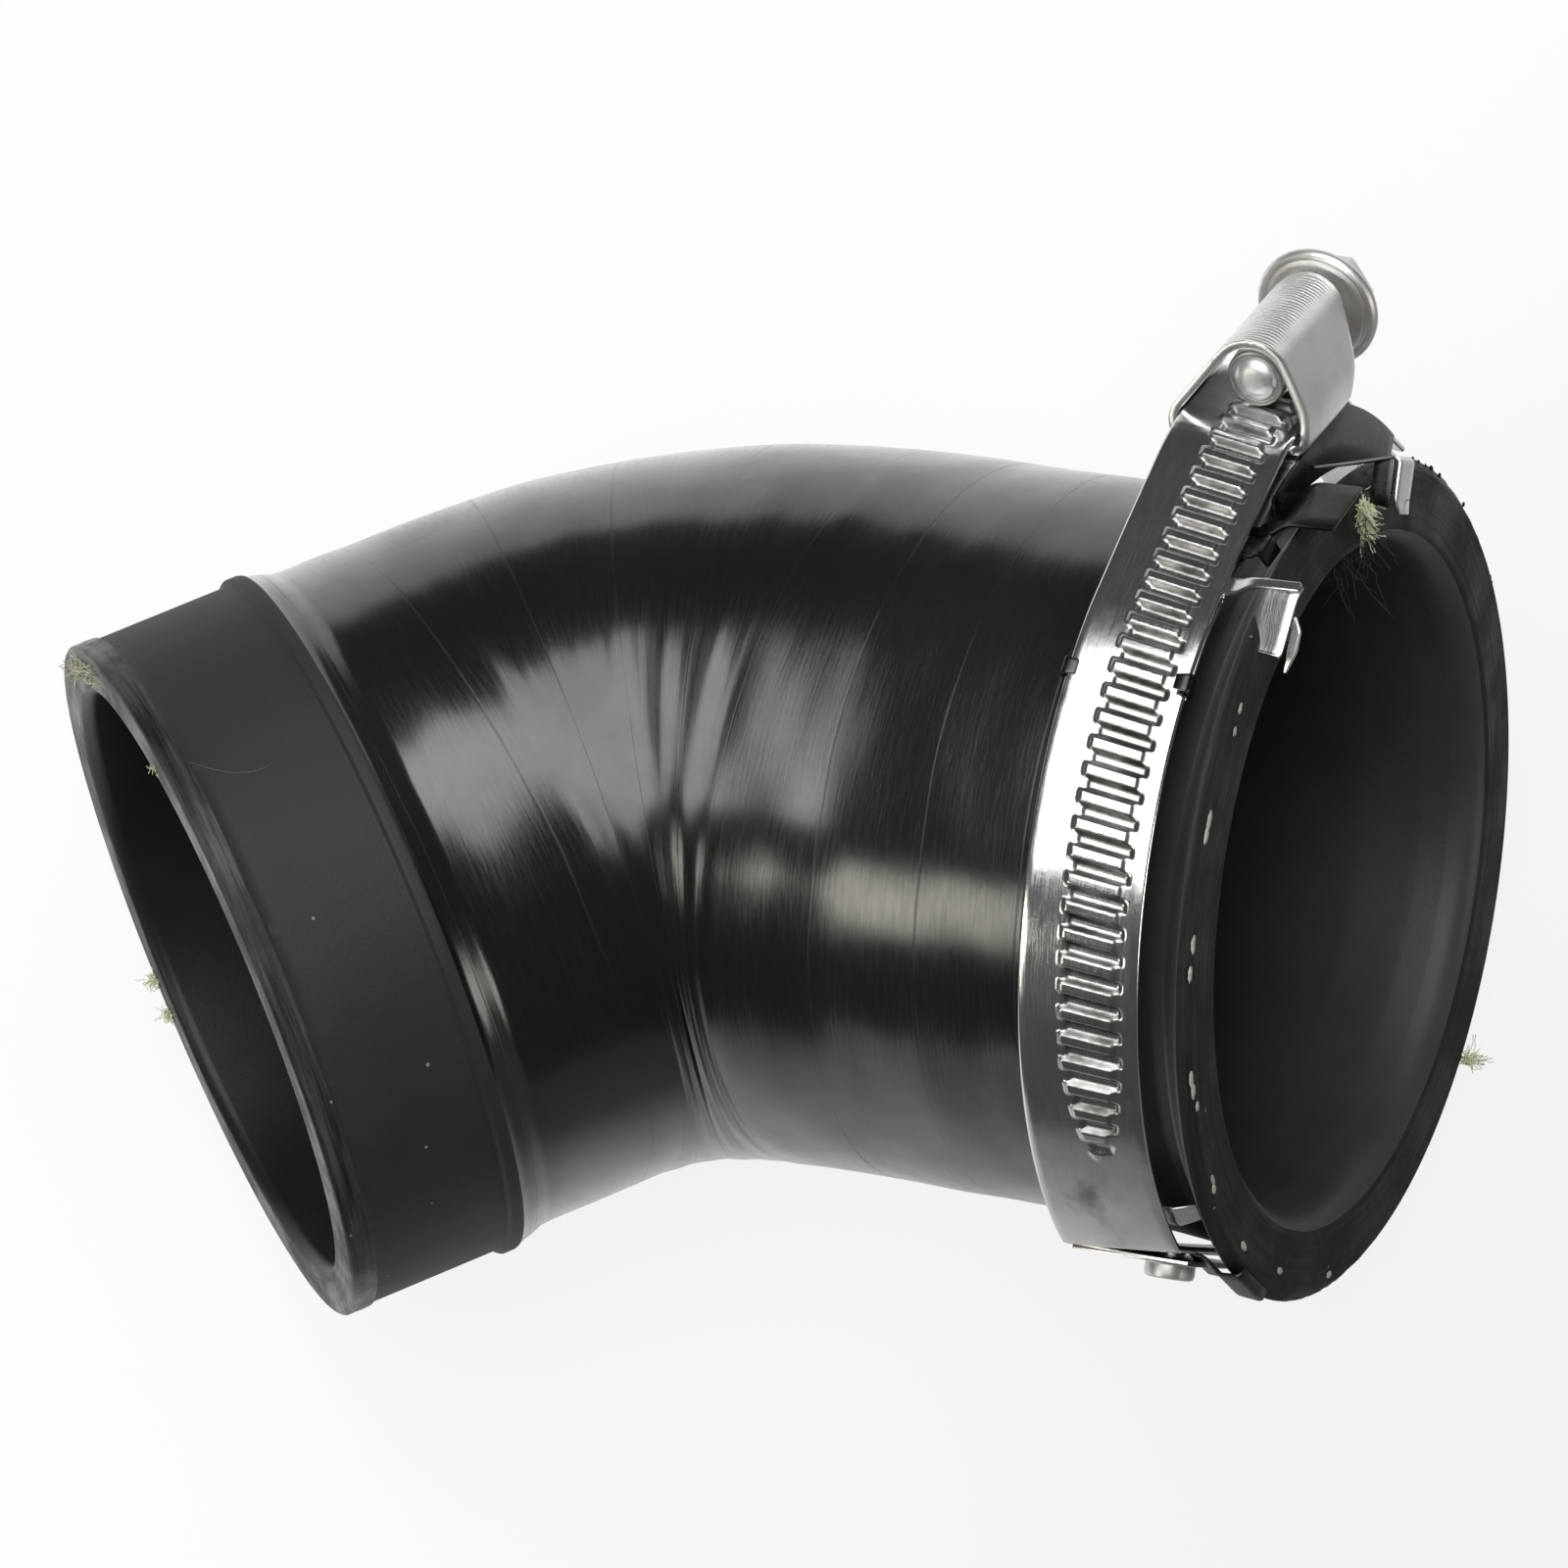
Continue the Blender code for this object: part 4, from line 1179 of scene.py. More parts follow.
def folded(name: str, path: tuple, thickness: float, place: Matrix, bend: float = 0.6,
           edge: float = 0.12) -> bpy.types.Object:
    """Return a folded piece of sheet.

    Args:
        name: Name of the new object.
        path: Corners of the fold, each as x, z and the sheet's lowest and highest y there.
        thickness: The sheet's thickness.
        place: The frame that the path is given in.
        bend: How far from each corner its bend starts.
        edge: Width of the softened edges.

    Returns:
        The new object.
    """
    line = rounded(path, bend)
    shares = np.linspace(0.0, 1.0, 5)
    grid = np.zeros((len(line), len(shares), 3))
    grid[:, :, 0] = line[:, 0, None]
    grid[:, :, 2] = line[:, 1, None]
    grid[:, :, 1] = line[:, 2, None] * (1 - shares) + line[:, 3, None] * shares
    item = lay_grid(name, moved(grid, place))
    sheet(item, thickness, edge)
    return item


@dataclass
class Band:
    """The toothed strip, with its fixed end under its toothed tail at the housing."""

    pitch: float = 2.58
    tooth_width: float = 5.9
    tooth_middle: float = 7.25
    tooth_height: float = 0.33
    slant: float = 0.13
    shift: float = 0.3
    first_ridge: float = -15.3
    last_tooth: float = -89.5
    step: float = 0.165
    coarse_steps: int = 220
    crown: float = 0.05
    tilt: float = 0.075

    def path(self) -> np.ndarray:
        """Return the strip's middle line in the ring's plane, from the tail to the fixed end.

        Returns:
            Points of the hose's frame with an x of 0, one in each row.
        """
        front = FRONT_FOOT - 1.5
        rear = REAR_FOOT + 0.6
        half_flat = math.degrees(math.acos(FLAT_DISTANCE / RING_RADIUS))
        take_off = radial(TAKE_OFF_ANGLE, RING_RADIUS)
        tail = RING_RADIUS + BAND_THICKNESS + GAP + TAIL_LIFT
        tail_front = along_screw(front, STRIP_HEIGHT)
        line = [radial(TAIL_ANGLE, tail - TAIL_LIFT * 0.9), radial(TAIL_ANGLE - 7.0, tail - 1.1)]
        line += [radial(40.0, tail + 0.1), radial(35.0, tail + 1.3)]
        line += [along_screw(rear, STRIP_HEIGHT), tail_front, (tail_front + take_off) * 0.502]
        line += arc(RING_RADIUS, TAKE_OFF_ANGLE, FLAT_ANGLE + half_flat)
        line += arc(RING_RADIUS, FLAT_ANGLE - half_flat, LANDING_ANGLE - 360.0)
        for angle, rise in ((50.0, 0.1), (40.0, 1.3), (35.0, 2.5)):
            line.append(radial(angle, RING_RADIUS + rise))
        line += [along_screw(rear, FIXED_HEIGHT), along_screw(front, FIXED_HEIGHT)]
        smooth = rounded([point[1:] for point in line], 4.0, 8)
        return np.insert(smooth, 0, 0.0, axis=1)

    def teeth(self, places: np.ndarray, across: np.ndarray, start: float, end: float) -> np.ndarray:
        """Return how far the embossed ridges and valleys stand out of the strip.

        Args:
            places: Lengths along the strip.
            across: Lengths across it.
            start: Length along it of the middle of one ridge.
            end: Length along it where the teeth end.

        Returns:
            A height for each place along and across the strip.
        """
        slanted = places - (across - self.tooth_middle) * self.slant
        wave = np.cos((slanted - start) / self.pitch * 2 * math.pi)
        wave = np.clip(wave * 1.3 + 0.22, -1.0, 1.0)
        wave = 1.5 * wave - 0.5 * wave**3
        left = np.clip((end - places) / (self.pitch * 4.5), 0.0, 1.0)
        half = self.tooth_width / 2 * np.sqrt(left)
        middle = self.tooth_middle - self.shift * np.sign(wave)
        side = np.clip((half - np.abs(across - middle)) / 0.5, 0.0, 1.0)
        side = side * side * (3 - 2 * side)
        fade = np.clip(left * 3.0, 0.0, 1.0) * np.clip((places - 1.5) / 2.0, 0.0, 1.0)
        return self.tooth_height * wave * side * fade

    def grime_and_shade(self, places: np.ndarray, across: np.ndarray, height: np.ndarray) -> np.ndarray:
        """Return the strip's painted shade and grime, from how steep and how low its teeth are.

        Args:
            places: Lengths along the strip.
            across: Lengths across it.
            height: How far the teeth stand out at each of those places.

        Returns:
            A share from 0 to 1 for each place.
        """
        along = np.gradient(height, places, axis=0)
        sideways = np.gradient(height, across, axis=1)
        # Painted shade on the steep flanks, and grime with painted shade in the low valleys.
        steep = np.clip(np.hypot(along, sideways) / 0.85, 0.0, 1.0) ** 1.5
        low = np.clip(-height / self.tooth_height, 0.0, 1.0)
        return np.clip(steep * 0.92 + low * 0.22, 0.0, 0.95)

    def build(self, finish: bpy.types.Material) -> bpy.types.Object:
        """Return the strip.

        Args:
            finish: Its material, which reads the point attribute of painted shade and grime.

        Returns:
            The finished piece.
        """
        line = self.path()
        lengths = path_lengths(line)
        angles = np.degrees(np.unwrap(np.arctan2(line[:, 1], line[:, 2])))
        start, end = np.interp([-self.first_ridge, -self.last_tooth], -angles, lengths)
        fine = np.arange(0.0, end + 1.0, self.step)
        coarse = np.linspace(end + 1.2, lengths[-1], self.coarse_steps)
        places = np.concatenate([fine, coarse])
        middle = resample(line, places)
        way = resample(line, np.minimum(places + 0.4, lengths[-1]))
        way = way - resample(line, np.maximum(places - 0.4, 0.0))
        way = way / np.linalg.norm(way, axis=1)[:, None]
        out = np.stack([np.zeros(len(way)), -way[:, 2], way[:, 1]], axis=1)
        out *= np.sign((out * middle).sum(axis=1))[:, None]
        half = BAND_THICKNESS / 2
        across = np.concatenate([np.linspace(half, 3.4, 6), np.linspace(3.6, 10.9, 41),
                                 [BAND_WIDTH - half]])
        height = self.teeth(places[:, None], across[None, :], start, end)
        off = across - BAND_WIDTH / 2
        bow = self.crown * (1 - (off / (BAND_WIDTH / 2)) ** 2) - self.tilt * off
        # Painted shade and grime for each point, kept as a point attribute for the material.
        grime_and_shade = self.grime_and_shade(places, across, height)
        grid = middle[:, None, :] + out[:, None, :] * (height + bow)[:, :, None]
        grid[:, :, 0] = BAND_START + across[None, :]
        away = np.repeat(out[:, None, :], len(across), axis=1)
        item = lay_grid("clamp_strip", strip_section(grid, away, BAND_THICKNESS))
        skin = strip_section(grime_and_shade[:, :, None] * np.ones(3), np.zeros_like(grid), 0.0)[:, :, 0]
        item.data.attributes.new("grime_and_shade", "FLOAT", "POINT").data.foreach_set("value", skin.ravel())
        clean(item, 75.0)
        item.data.materials.append(finish)
        LOG.info("strip: %d faces", len(item.data.polygons))
        return adopt(item, Body.ROOT, Slot.BAND, "clamp_band")


@dataclass
class Housing:
    """The folded sheet over the screw, closed under the strip's fixed end."""

    roof_radius: float = 3.6 + SHEET / 2
    roof_rise: float = 4.5
    edge: float = 0.12

    def outline(self) -> np.ndarray:
        """Return the sheet's middle line, across the band and away from the ring's centre.

        Returns:
            Rows of a place across the band and a height.
        """
        low = BASE_HEIGHT
        shoulder = STRIP_HEIGHT + BAND_THICKNESS / 2
        near = -GAP - SHEET / 2
        far = BAND_WIDTH + GAP + SHEET / 2
        corners = [(5.0, low), (near + 0.1, low), (near - 0.35, shoulder - 0.3)]
        for angle in range(138, 37, -10):
            turn = math.radians(angle)
            across = SCREW_OFFSET + self.roof_radius * math.cos(turn)
            corners.append((across, SCREW_HEIGHT + self.roof_radius * math.sin(turn)))
        corners += [(BAND_WIDTH - 0.75, SCREW_HEIGHT + 0.6), (far, SCREW_HEIGHT - 2.6), (far, low)]
        return rounded(corners + [(5.0, low)], 1.2, 5)

    def build(self, finish: bpy.types.Material) -> bpy.types.Object:
        """Return the housing.

        Args:
            finish: Its material.

        Returns:
            The finished piece.
        """
        line = self.outline()
        tall = SCREW_HEIGHT + self.roof_rise - BASE_HEIGHT
        shares = np.linspace(0.0, 1.0, 25)
        grid = np.zeros((len(shares), len(line), 3))
        for k, share in enumerate(shares):
            for j, (across, height) in enumerate(line):
                rise = (height - BASE_HEIGHT) / tall
                front = FRONT_FOOT + (SCREW_TIP - FRONT_FOOT) * rise
                rear = REAR_FOOT + (ROOF_END - REAR_FOOT) * rise
                point = along_screw(front + (rear - front) * share, height)
                grid[k, j] = point + np.array([BAND_START + across, 0.0, 0.0])
        item = lay_grid("housing", grid)
        clean(item, 40.0)
        sheet(item, SHEET - 0.04, self.edge)
        item.data.materials.append(finish)
        LOG.info("housing: %d faces", len(item.data.polygons))
        return adopt(item, Body.ROOT, Slot.HOUSING, "worm_housing")


@dataclass
class Screw:
    """The worm screw: domed tip, thread, flange with a rolled rim and hexagon head."""

    lead: float = 1.6
    tip_radius: float = 2.25
    neck: float = 2.95
    thread_start: float = 1.1
    thread_end: float = 15.9
    thread_depth: float = 0.75
    thread_rise: float = 0.1
    flange: float = 21.1 - SCREW_TIP
    flange_radius: float = 6.22
    hexagon: float = 3.45
    head_length: float = 5.6
    steps: int = 64

    def turned(self, name: str, profile: list) -> bpy.types.Object:
        """Return a piece turned about the screw's axis from radii and heights."""
        line = np.array(profile)
        return self.surface(name, line[:, :1].repeat(self.steps + 1, axis=1), line[:, 1])

    def surface(self, name: str, radii: np.ndarray, heights: np.ndarray) -> bpy.types.Object:
        """Return a closed surface about the screw's axis.

        Args:
            name: Name of the new object.
            radii: Rows of radii, one for each spoke.
            heights: How far along the axis each row is, from the tip.

        Returns:
            The new object.
        """
        turn = np.linspace(0.0, 2 * math.pi, self.steps + 1)
        tip = along_screw(SCREW_TIP, SCREW_HEIGHT)
        tip = tip + np.array([BAND_START + SCREW_OFFSET, 0.0, 0.0])
        way = along_screw(1.0, 0.0)
        out = along_screw(0.0, 1.0)
        side = np.array([1.0, 0.0, 0.0])
        spokes = side[None, :] * np.cos(turn)[:, None] + out[None, :] * np.sin(turn)[:, None]
        grid = tip + way * heights[:, None, None] + spokes[None, :, :] * radii[:, :, None]
        grid[:, -1] = grid[:, 0]
        return lay_grid(name, grid)

    def thread(self) -> bpy.types.Object:
        """Return the threaded stretch.

        Returns:
            The new object.
        """
        heights = np.arange(self.thread_start, self.thread_end, 0.1)
        turn = np.linspace(0.0, 2 * math.pi, self.steps + 1)
        wave = np.cos(turn[None, :] - heights[:, None] * 2 * math.pi / self.lead)
        crest = np.clip(0.5 + 1.1 * wave, 0.0, 1.0)
        fade = np.clip((heights - self.thread_start) / 1.2, 0.0, 1.0)[:, None]
        depth = self.thread_depth * (1 - crest) - self.thread_rise * crest
        return self.surface("thread", self.neck - fade * depth, heights)

    def head(self) -> bpy.types.Object:
        """Return the hexagon head with its shallow cup.

        Returns:
            The new object.
        """
        end = self.flange + self.head_length
        angles = np.linspace(0.0, 2 * math.pi, self.steps + 1)
        hexagon = self.hexagon / np.cos((angles % (math.pi / 3)) - math.pi / 6)
        rings = [(self.flange + 1.4, hexagon), (end - 0.5, hexagon), (end - 0.15, hexagon * 0.96),
                 (end, hexagon * 0.88)]
        for radius, place in ((2.7, end), (2.5, end - 0.5), (0.0, end - 0.6)):
            rings.append((place, np.full(self.steps + 1, radius)))
        heights, radii = zip(*rings)
        return self.surface("head", np.array(radii), np.array(heights))

    def build(self, steel: bpy.types.Material, rim: bpy.types.Material) -> bpy.types.Object:
        """Return the screw.

        Args:
            steel: Its material.
            rim: The material of the stained collar round its tip.

        Returns:
            The finished piece.
        """
        tip = self.turned("tip", [(0.0, 0.0), (0.8, 0.05), (1.4, 0.18), (1.9, 0.42), (2.15, 0.68),
                                  (self.tip_radius, 0.9)])
        collar = self.turned("collar", [(self.tip_radius, 0.9), (2.32, 0.84), (2.55, 0.8),
                                        (2.8, 0.88), (self.neck, self.thread_start)])
        profile = [(self.neck, self.thread_end - 0.1)]
        for radius, past in ((3.1, 0.0), (4.7, 0.0), (5.0, -0.02), (5.3, 0.1), (5.55, 0.0),
                             (5.9, 0.05), (6.15, 0.3), (self.flange_radius, 0.6), (6.15, 0.95),
                             (5.9, 1.25), (5.5, 1.35), (5.2, 1.42), (4.4, 1.5), (3.2, 1.5)):
            profile.append((radius, self.flange + past))
        parts = [tip, collar, self.thread(), self.turned("flange", profile), self.head()]
        for part in parts:
            part.data.materials.append(rim if part is collar else steel)
            clean(part, 35.0)
        item = join("screw", parts)
        LOG.info("screw: %d faces", len(item.data.polygons))
        return adopt(item, Body.SCREW, Slot.SCREW, "worm_screw")


@dataclass
class TopRetainer:
    """The liner under the band, with two ears, an apron and two hooks at the mouth.

    A fold's corners are each an x, a z and the sheet's lowest and highest y there, and its
    place is an angle and a radius on the ring.
    """

    gauge: float = 0.4
    arm_gauge: float = 0.42
    tongue_gauge: float = 0.34
    claw_gauge: float = 0.36
    liner_gauge: float = 0.5
    ear_place: tuple = (-22.8, RING_RADIUS)
    ear_reach: float = 6.5
    near_place: tuple = (-6.4, 42.6)
    near_arm: tuple = ((64.5, -1.0, -1.6, 1.0), (66.6, -1.0, -1.4, 0.9), (68.8, 0.0, -0.6, 0.6),
                       (73.6, 0.15, -0.55, 0.6))
    near_tongue: tuple = ((-0.4, 0.0, -2.25, 1.9), (1.0, -0.1, -2.25, 1.9),
                          (5.3, -3.4, -2.25, 1.75), (5.8, -3.4, -2.2, 1.6))
    near_barb: tuple = ((2.3, -1.2, -0.1, 0.1), (3.2, -2.0, -0.1, 0.9), (4.6, -3.4, -0.1, 0.9),
                        (6.2, -4.9, 0.0, 0.2))
    apron_place: tuple = (8.6, 43.3)
    apron: tuple = ((64.5, -1.9, -3.8, 3.9), (67.5, -1.9, -3.8, 3.9), (69.3, -0.15, -3.8, 3.9),
                    (74.2, 0.0, -3.8, 3.8))
    lug: tuple = ((64.5, -1.9, -7.4, -4.1), (67.1, -1.9, -7.4, -4.1), (67.8, -1.3, -7.4, -4.1),
                  (68.7, -2.9, -7.2, -4.2))
    far_arm: tuple = ((64.6, -1.4, -2.6, -1.4), (66.5, -1.2, -2.6, -1.4), (69.0, -0.5, -1.4, -0.4),
                      (73.5, 0.8, 0.2, 1.4))
    far_wall: tuple = ((71.5, -0.4, -3.9, 0.5), (72.6, -0.35, -4.0, 0.6), (73.6, -0.3, -4.1, 0.6))
    far_claw: tuple = ((73.4, 0.8, 0.2, 4.0), (74.05, 0.6, 0.2, 4.0), (74.05, -3.4, 0.2, 3.9),
                       (74.5, -4.6, 0.6, 3.0))
    side_place: float = 66.35
    side_foot: float = 40.4
    side_tops: tuple = ((9.0, 43.0), (24.0, 44.6), (30.0, 46.6), (34.0, 46.2), (50.0, 43.6))

    def liner(self) -> bpy.types.Object:
        """Return the strip that lies under the band and the housing.

        Returns:
            The new object.
        """
        line = arc(LINER_RADIUS, -24.5, TAKE_OFF_ANGLE)
        for distance in (FRONT_FOOT - 1.5, REAR_FOOT + 0.6):
            line.append(along_screw(distance, LINER_HEIGHT))
        for angle, rise in ((36.0, 1.9), (42.0, 0.4), (52.0, -0.3)):
            line.append(radial(angle, LINER_RADIUS + rise))
        path = np.insert(rounded([point[1:] for point in line], 3.0), 0, 0.0, axis=1)
        path = resample(path, np.linspace(0.0, path_lengths(path)[-1], 120))
        grid = np.repeat(path[:, None, :], 7, axis=1)
        grid[:, :, 0] = BAND_START + np.linspace(0.0, BAND_WIDTH, 7)
        item = lay_grid("liner", grid)
        sheet(item, self.liner_gauge, 0.1)
        return item

    def ears(self) -> list:
        """Return the two small ears folded over the band's edges.

        Returns:
            The two new objects.
        """
        place = ring_place(*self.ear_place, RING_CENTRE)
        items = []
        for sign in (-1, 1):
            side = sign * self.ear_reach
            path = ((sign * 5.0, -0.9, -1.0, 1.0), (side, -0.9, -1.0, 1.0),
                    (side, 0.85, -0.95, 0.95), (side - sign * 1.5, 0.8, -0.8, 0.7))
            items.append(folded("ear", path, self.gauge, place))
        return items

    def near_hook(self) -> list:
        """Return the near hook: an arm along the mouth's axis, a tongue and a barb.

        Returns:
            The three new objects.
        """
        arm = ring_place(*self.near_place, 0.0)
        turn = Matrix.Rotation(math.radians(-97), 4, "Z")
        tongue = arm @ Matrix.Translation((72.0, 0.0, 0.1)) @ turn
        barb = tongue @ Matrix.Translation((0.0, 2.1, 0.0))
        return [
            folded("near_arm", self.near_arm, self.arm_gauge, arm, 0.9),
            folded("near_tongue", self.near_tongue, self.tongue_gauge, tongue, 0.8),
            folded("near_barb", self.near_barb, self.tongue_gauge, barb, 0.3, 0.08),
        ]

    def mouth_folds(self) -> list:
        """Return the apron over the mouth's rim and the small lug beside it.

        Returns:
            The two new objects.
        """
        place = ring_place(*self.apron_place, 0.0)
        return [folded("apron", self.apron, self.gauge, place, 1.2),
                folded("lug", self.lug, self.gauge, place, 0.5)]

    def far_hook(self) -> tuple:
        """Return the far hook's dark pieces, and its claw.

        Returns:
            A list of the dark pieces, and the claw.
        """
        turn = Matrix.Rotation(math.radians(-42), 4, "X")
        place = Matrix.Translation((0.0, 18.5, 38.0)) @ turn
        wall = place @ Matrix.Rotation(math.radians(90), 4, "X")
        dark = [folded("far_arm", self.far_arm, self.claw_gauge, place, 0.8, 0.1),
                folded("far_wall", self.far_wall, self.tongue_gauge, wall, 0.4, 0.1)]
        return dark, folded("claw", self.far_claw, self.claw_gauge, place, 0.5, 0.1)

    def side(self) -> bpy.types.Object:
        """Return the plate that closes the side under the strip's tail: a sheet of the darker
        steel, painted shade in that gap.

        Returns:
            The new object.
        """
        ends, heights = zip(*self.side_tops)
        angles = np.linspace(ends[0], ends[-1], 22)
        grid = np.zeros((3, len(angles), 3))
        for k, (angle, top) in enumerate(zip(angles, np.interp(angles, ends, heights))):
            for j, share in enumerate((0.0, 0.5, 1.0)):
                point = radial(angle, self.side_foot * (1 - share) + top * share)
                grid[j, k] = point + np.array([self.side_place, 0.0, 0.0])
        item = lay_grid("side_plate", grid)
        # The plate's darkness comes from the darker steel it is given: painted shade.
        sheet(item, self.claw_gauge, 0.1)
        return item

    def build(self, finish: bpy.types.Material, painted_shade_and_tarnish: bpy.types.Material) -> bpy.types.Object:
        """Return the retainer.

        Args:
            finish: The material of its bright pieces.
            painted_shade_and_tarnish: The darker copy of its steel on its dark pieces: painted
                shade, with some tarnish.

        Returns:
            The finished piece.
        """
        dark, claw = self.far_hook()
        bright = [self.liner(), *self.near_hook(), claw]
        dark += [*self.ears(), *self.mouth_folds(), self.side()]
        # The dark pieces take the darker steel: painted shade, with some tarnish.
        for items, material in ((bright, finish), (dark, painted_shade_and_tarnish)):
            for item in items:
                item.data.materials.append(material)
        item = join("top_retainer", bright + dark)
        LOG.info("top retainer: %d faces", len(item.data.polygons))
        return adopt(item, Body.ROOT, Slot.RETAINER, "retainer_top")


@dataclass
class BottomRetainer:
    """The bar on the flat of the band, its hook over the mouth and its rivet."""

    distance: float = 38.55
    bar_shift: float = 8.5
    bar_gauge: float = 0.5
    hook_gauge: float = 0.36
    tab_gauge: float = 0.3
    bar_folds: tuple = ((-6.0, 0.0, -8.5, 8.5), (0.0, 0.0, -8.5, 8.5), (6.0, 0.0, -8.5, 8.5))
    hook_place: tuple = (-118.0, 41.8)
    hook: tuple = ((65.2, -1.6, -3.0, 3.0), (66.8, -1.5, -3.0, 3.0), (68.6, -0.1, -3.4, 3.0),
                   (70.8, -0.1, -4.4, 3.4), (71.0, -1.1, -4.0, 3.0))
    tab_place: tuple = (-101.5, 41.2)
    tab: tuple = ((64.5, -0.4, -1.5, 1.5), (66.4, -0.4, -1.5, 1.5), (68.4, -1.4, -1.2, 1.2))
    rivet_shift: float = 6.0
    rivet_profile: tuple = ((0.0, 3.0), (0.9, 3.0), (1.0, 2.9), (1.15, 3.0), (2.0, 3.0),
                            (2.35, 2.85), (2.45, 2.5), (2.45, 1.6), (2.6, 1.45), (2.6, 1.35),
                            (1.3, 1.3), (1.3, -0.3), (0.0, -0.35))
    rivet_steps: int = 48

    def bar(self, finish: bpy.types.Material, painted_shade_and_tarnish: bpy.types.Material) -> bpy.types.Object:
        """Return the bar, its hook and the small tab inside the band.

        Args:
            finish: The material of the bar and the tab.
            painted_shade_and_tarnish: The hook's material, the darker copy of the steel: painted
                shade, with some tarnish.

        Returns:
            The finished piece.
        """
        place = ring_place(FLAT_ANGLE, self.distance, RING_CENTRE)
        place = place @ Matrix.Translation((0.0, self.bar_shift, 0.0))
        bar = folded("bar", self.bar_folds, self.bar_gauge, place, edge=0.07)
        place = ring_place(*self.hook_place, 0.0)
        hook = folded("hook", self.hook, self.hook_gauge, place, 0.4, 0.1)
        place = ring_place(*self.tab_place, 0.0)
        tab = folded("tab", self.tab, self.tab_gauge, place, 0.4, 0.08)
        # The hook takes the darker steel: painted shade, with some tarnish.
        for item, material in ((bar, finish), (tab, finish), (hook, painted_shade_and_tarnish)):
            item.data.materials.append(material)
        item = join("bottom_retainer", [bar, tab, hook])
        LOG.info("bottom retainer: %d faces", len(item.data.polygons))
        return adopt(item, Body.ROOT, Slot.RETAINER, "retainer_bottom")

    def rivet(self, finish: bpy.types.Material) -> bpy.types.Object:
        """Return the rivet's head and shank.

        Args:
            finish: Its material.

        Returns:
            The finished piece.
        """
        place = ring_place(FLAT_ANGLE, FLAT_DISTANCE, RING_CENTRE)
        place = place @ Matrix.Translation((0.0, self.rivet_shift, 0.0))
        turn = np.linspace(0.0, 2 * math.pi, self.rivet_steps + 1)
        grid = np.zeros((len(self.rivet_profile), len(turn), 3))
        for k, (radius, height) in enumerate(self.rivet_profile):
            grid[k, :, 0] = radius * np.cos(turn)
            grid[k, :, 1] = radius * np.sin(turn)
            grid[k, :, 2] = height
        grid[:, -1] = grid[:, 0]
        item = lay_grid("rivet", moved(grid, place))
        clean(item, 35.0)
        item.data.materials.append(finish)
        LOG.info("rivet: %d faces", len(item.data.polygons))
        return adopt(item, Body.ROOT, Slot.SCREW, "retainer_rivet")


# Loose fibres and crumbs


def cuff_end_point(radius: float, angle: float, place: float = CUFF_LENGTH) -> np.ndarray:
    """Return a point of the cuff's end.

    Args:
        radius: How far the point is from the cuff leg's axis.
        angle: Its angle, in degrees from the bend's outside to +Z.
        place: How far along the cuff leg it is.

    Returns:
        The point, in the hose's frame.
    """
    turn = math.radians(angle)
    rise = np.array([0.0, 0.0, radius * math.sin(turn)])
    return CUFF_LEG.way * place + CUFF_LEG.out * radius * math.cos(turn) + rise


def mouth_point(radius: float, angle: float) -> np.ndarray:
    """Return a point of the mouth's face, at an angle in degrees from +Z towards +Y."""
    return radial(angle, radius) + np.array([MOUTH_LENGTH, 0.0, 0.0])


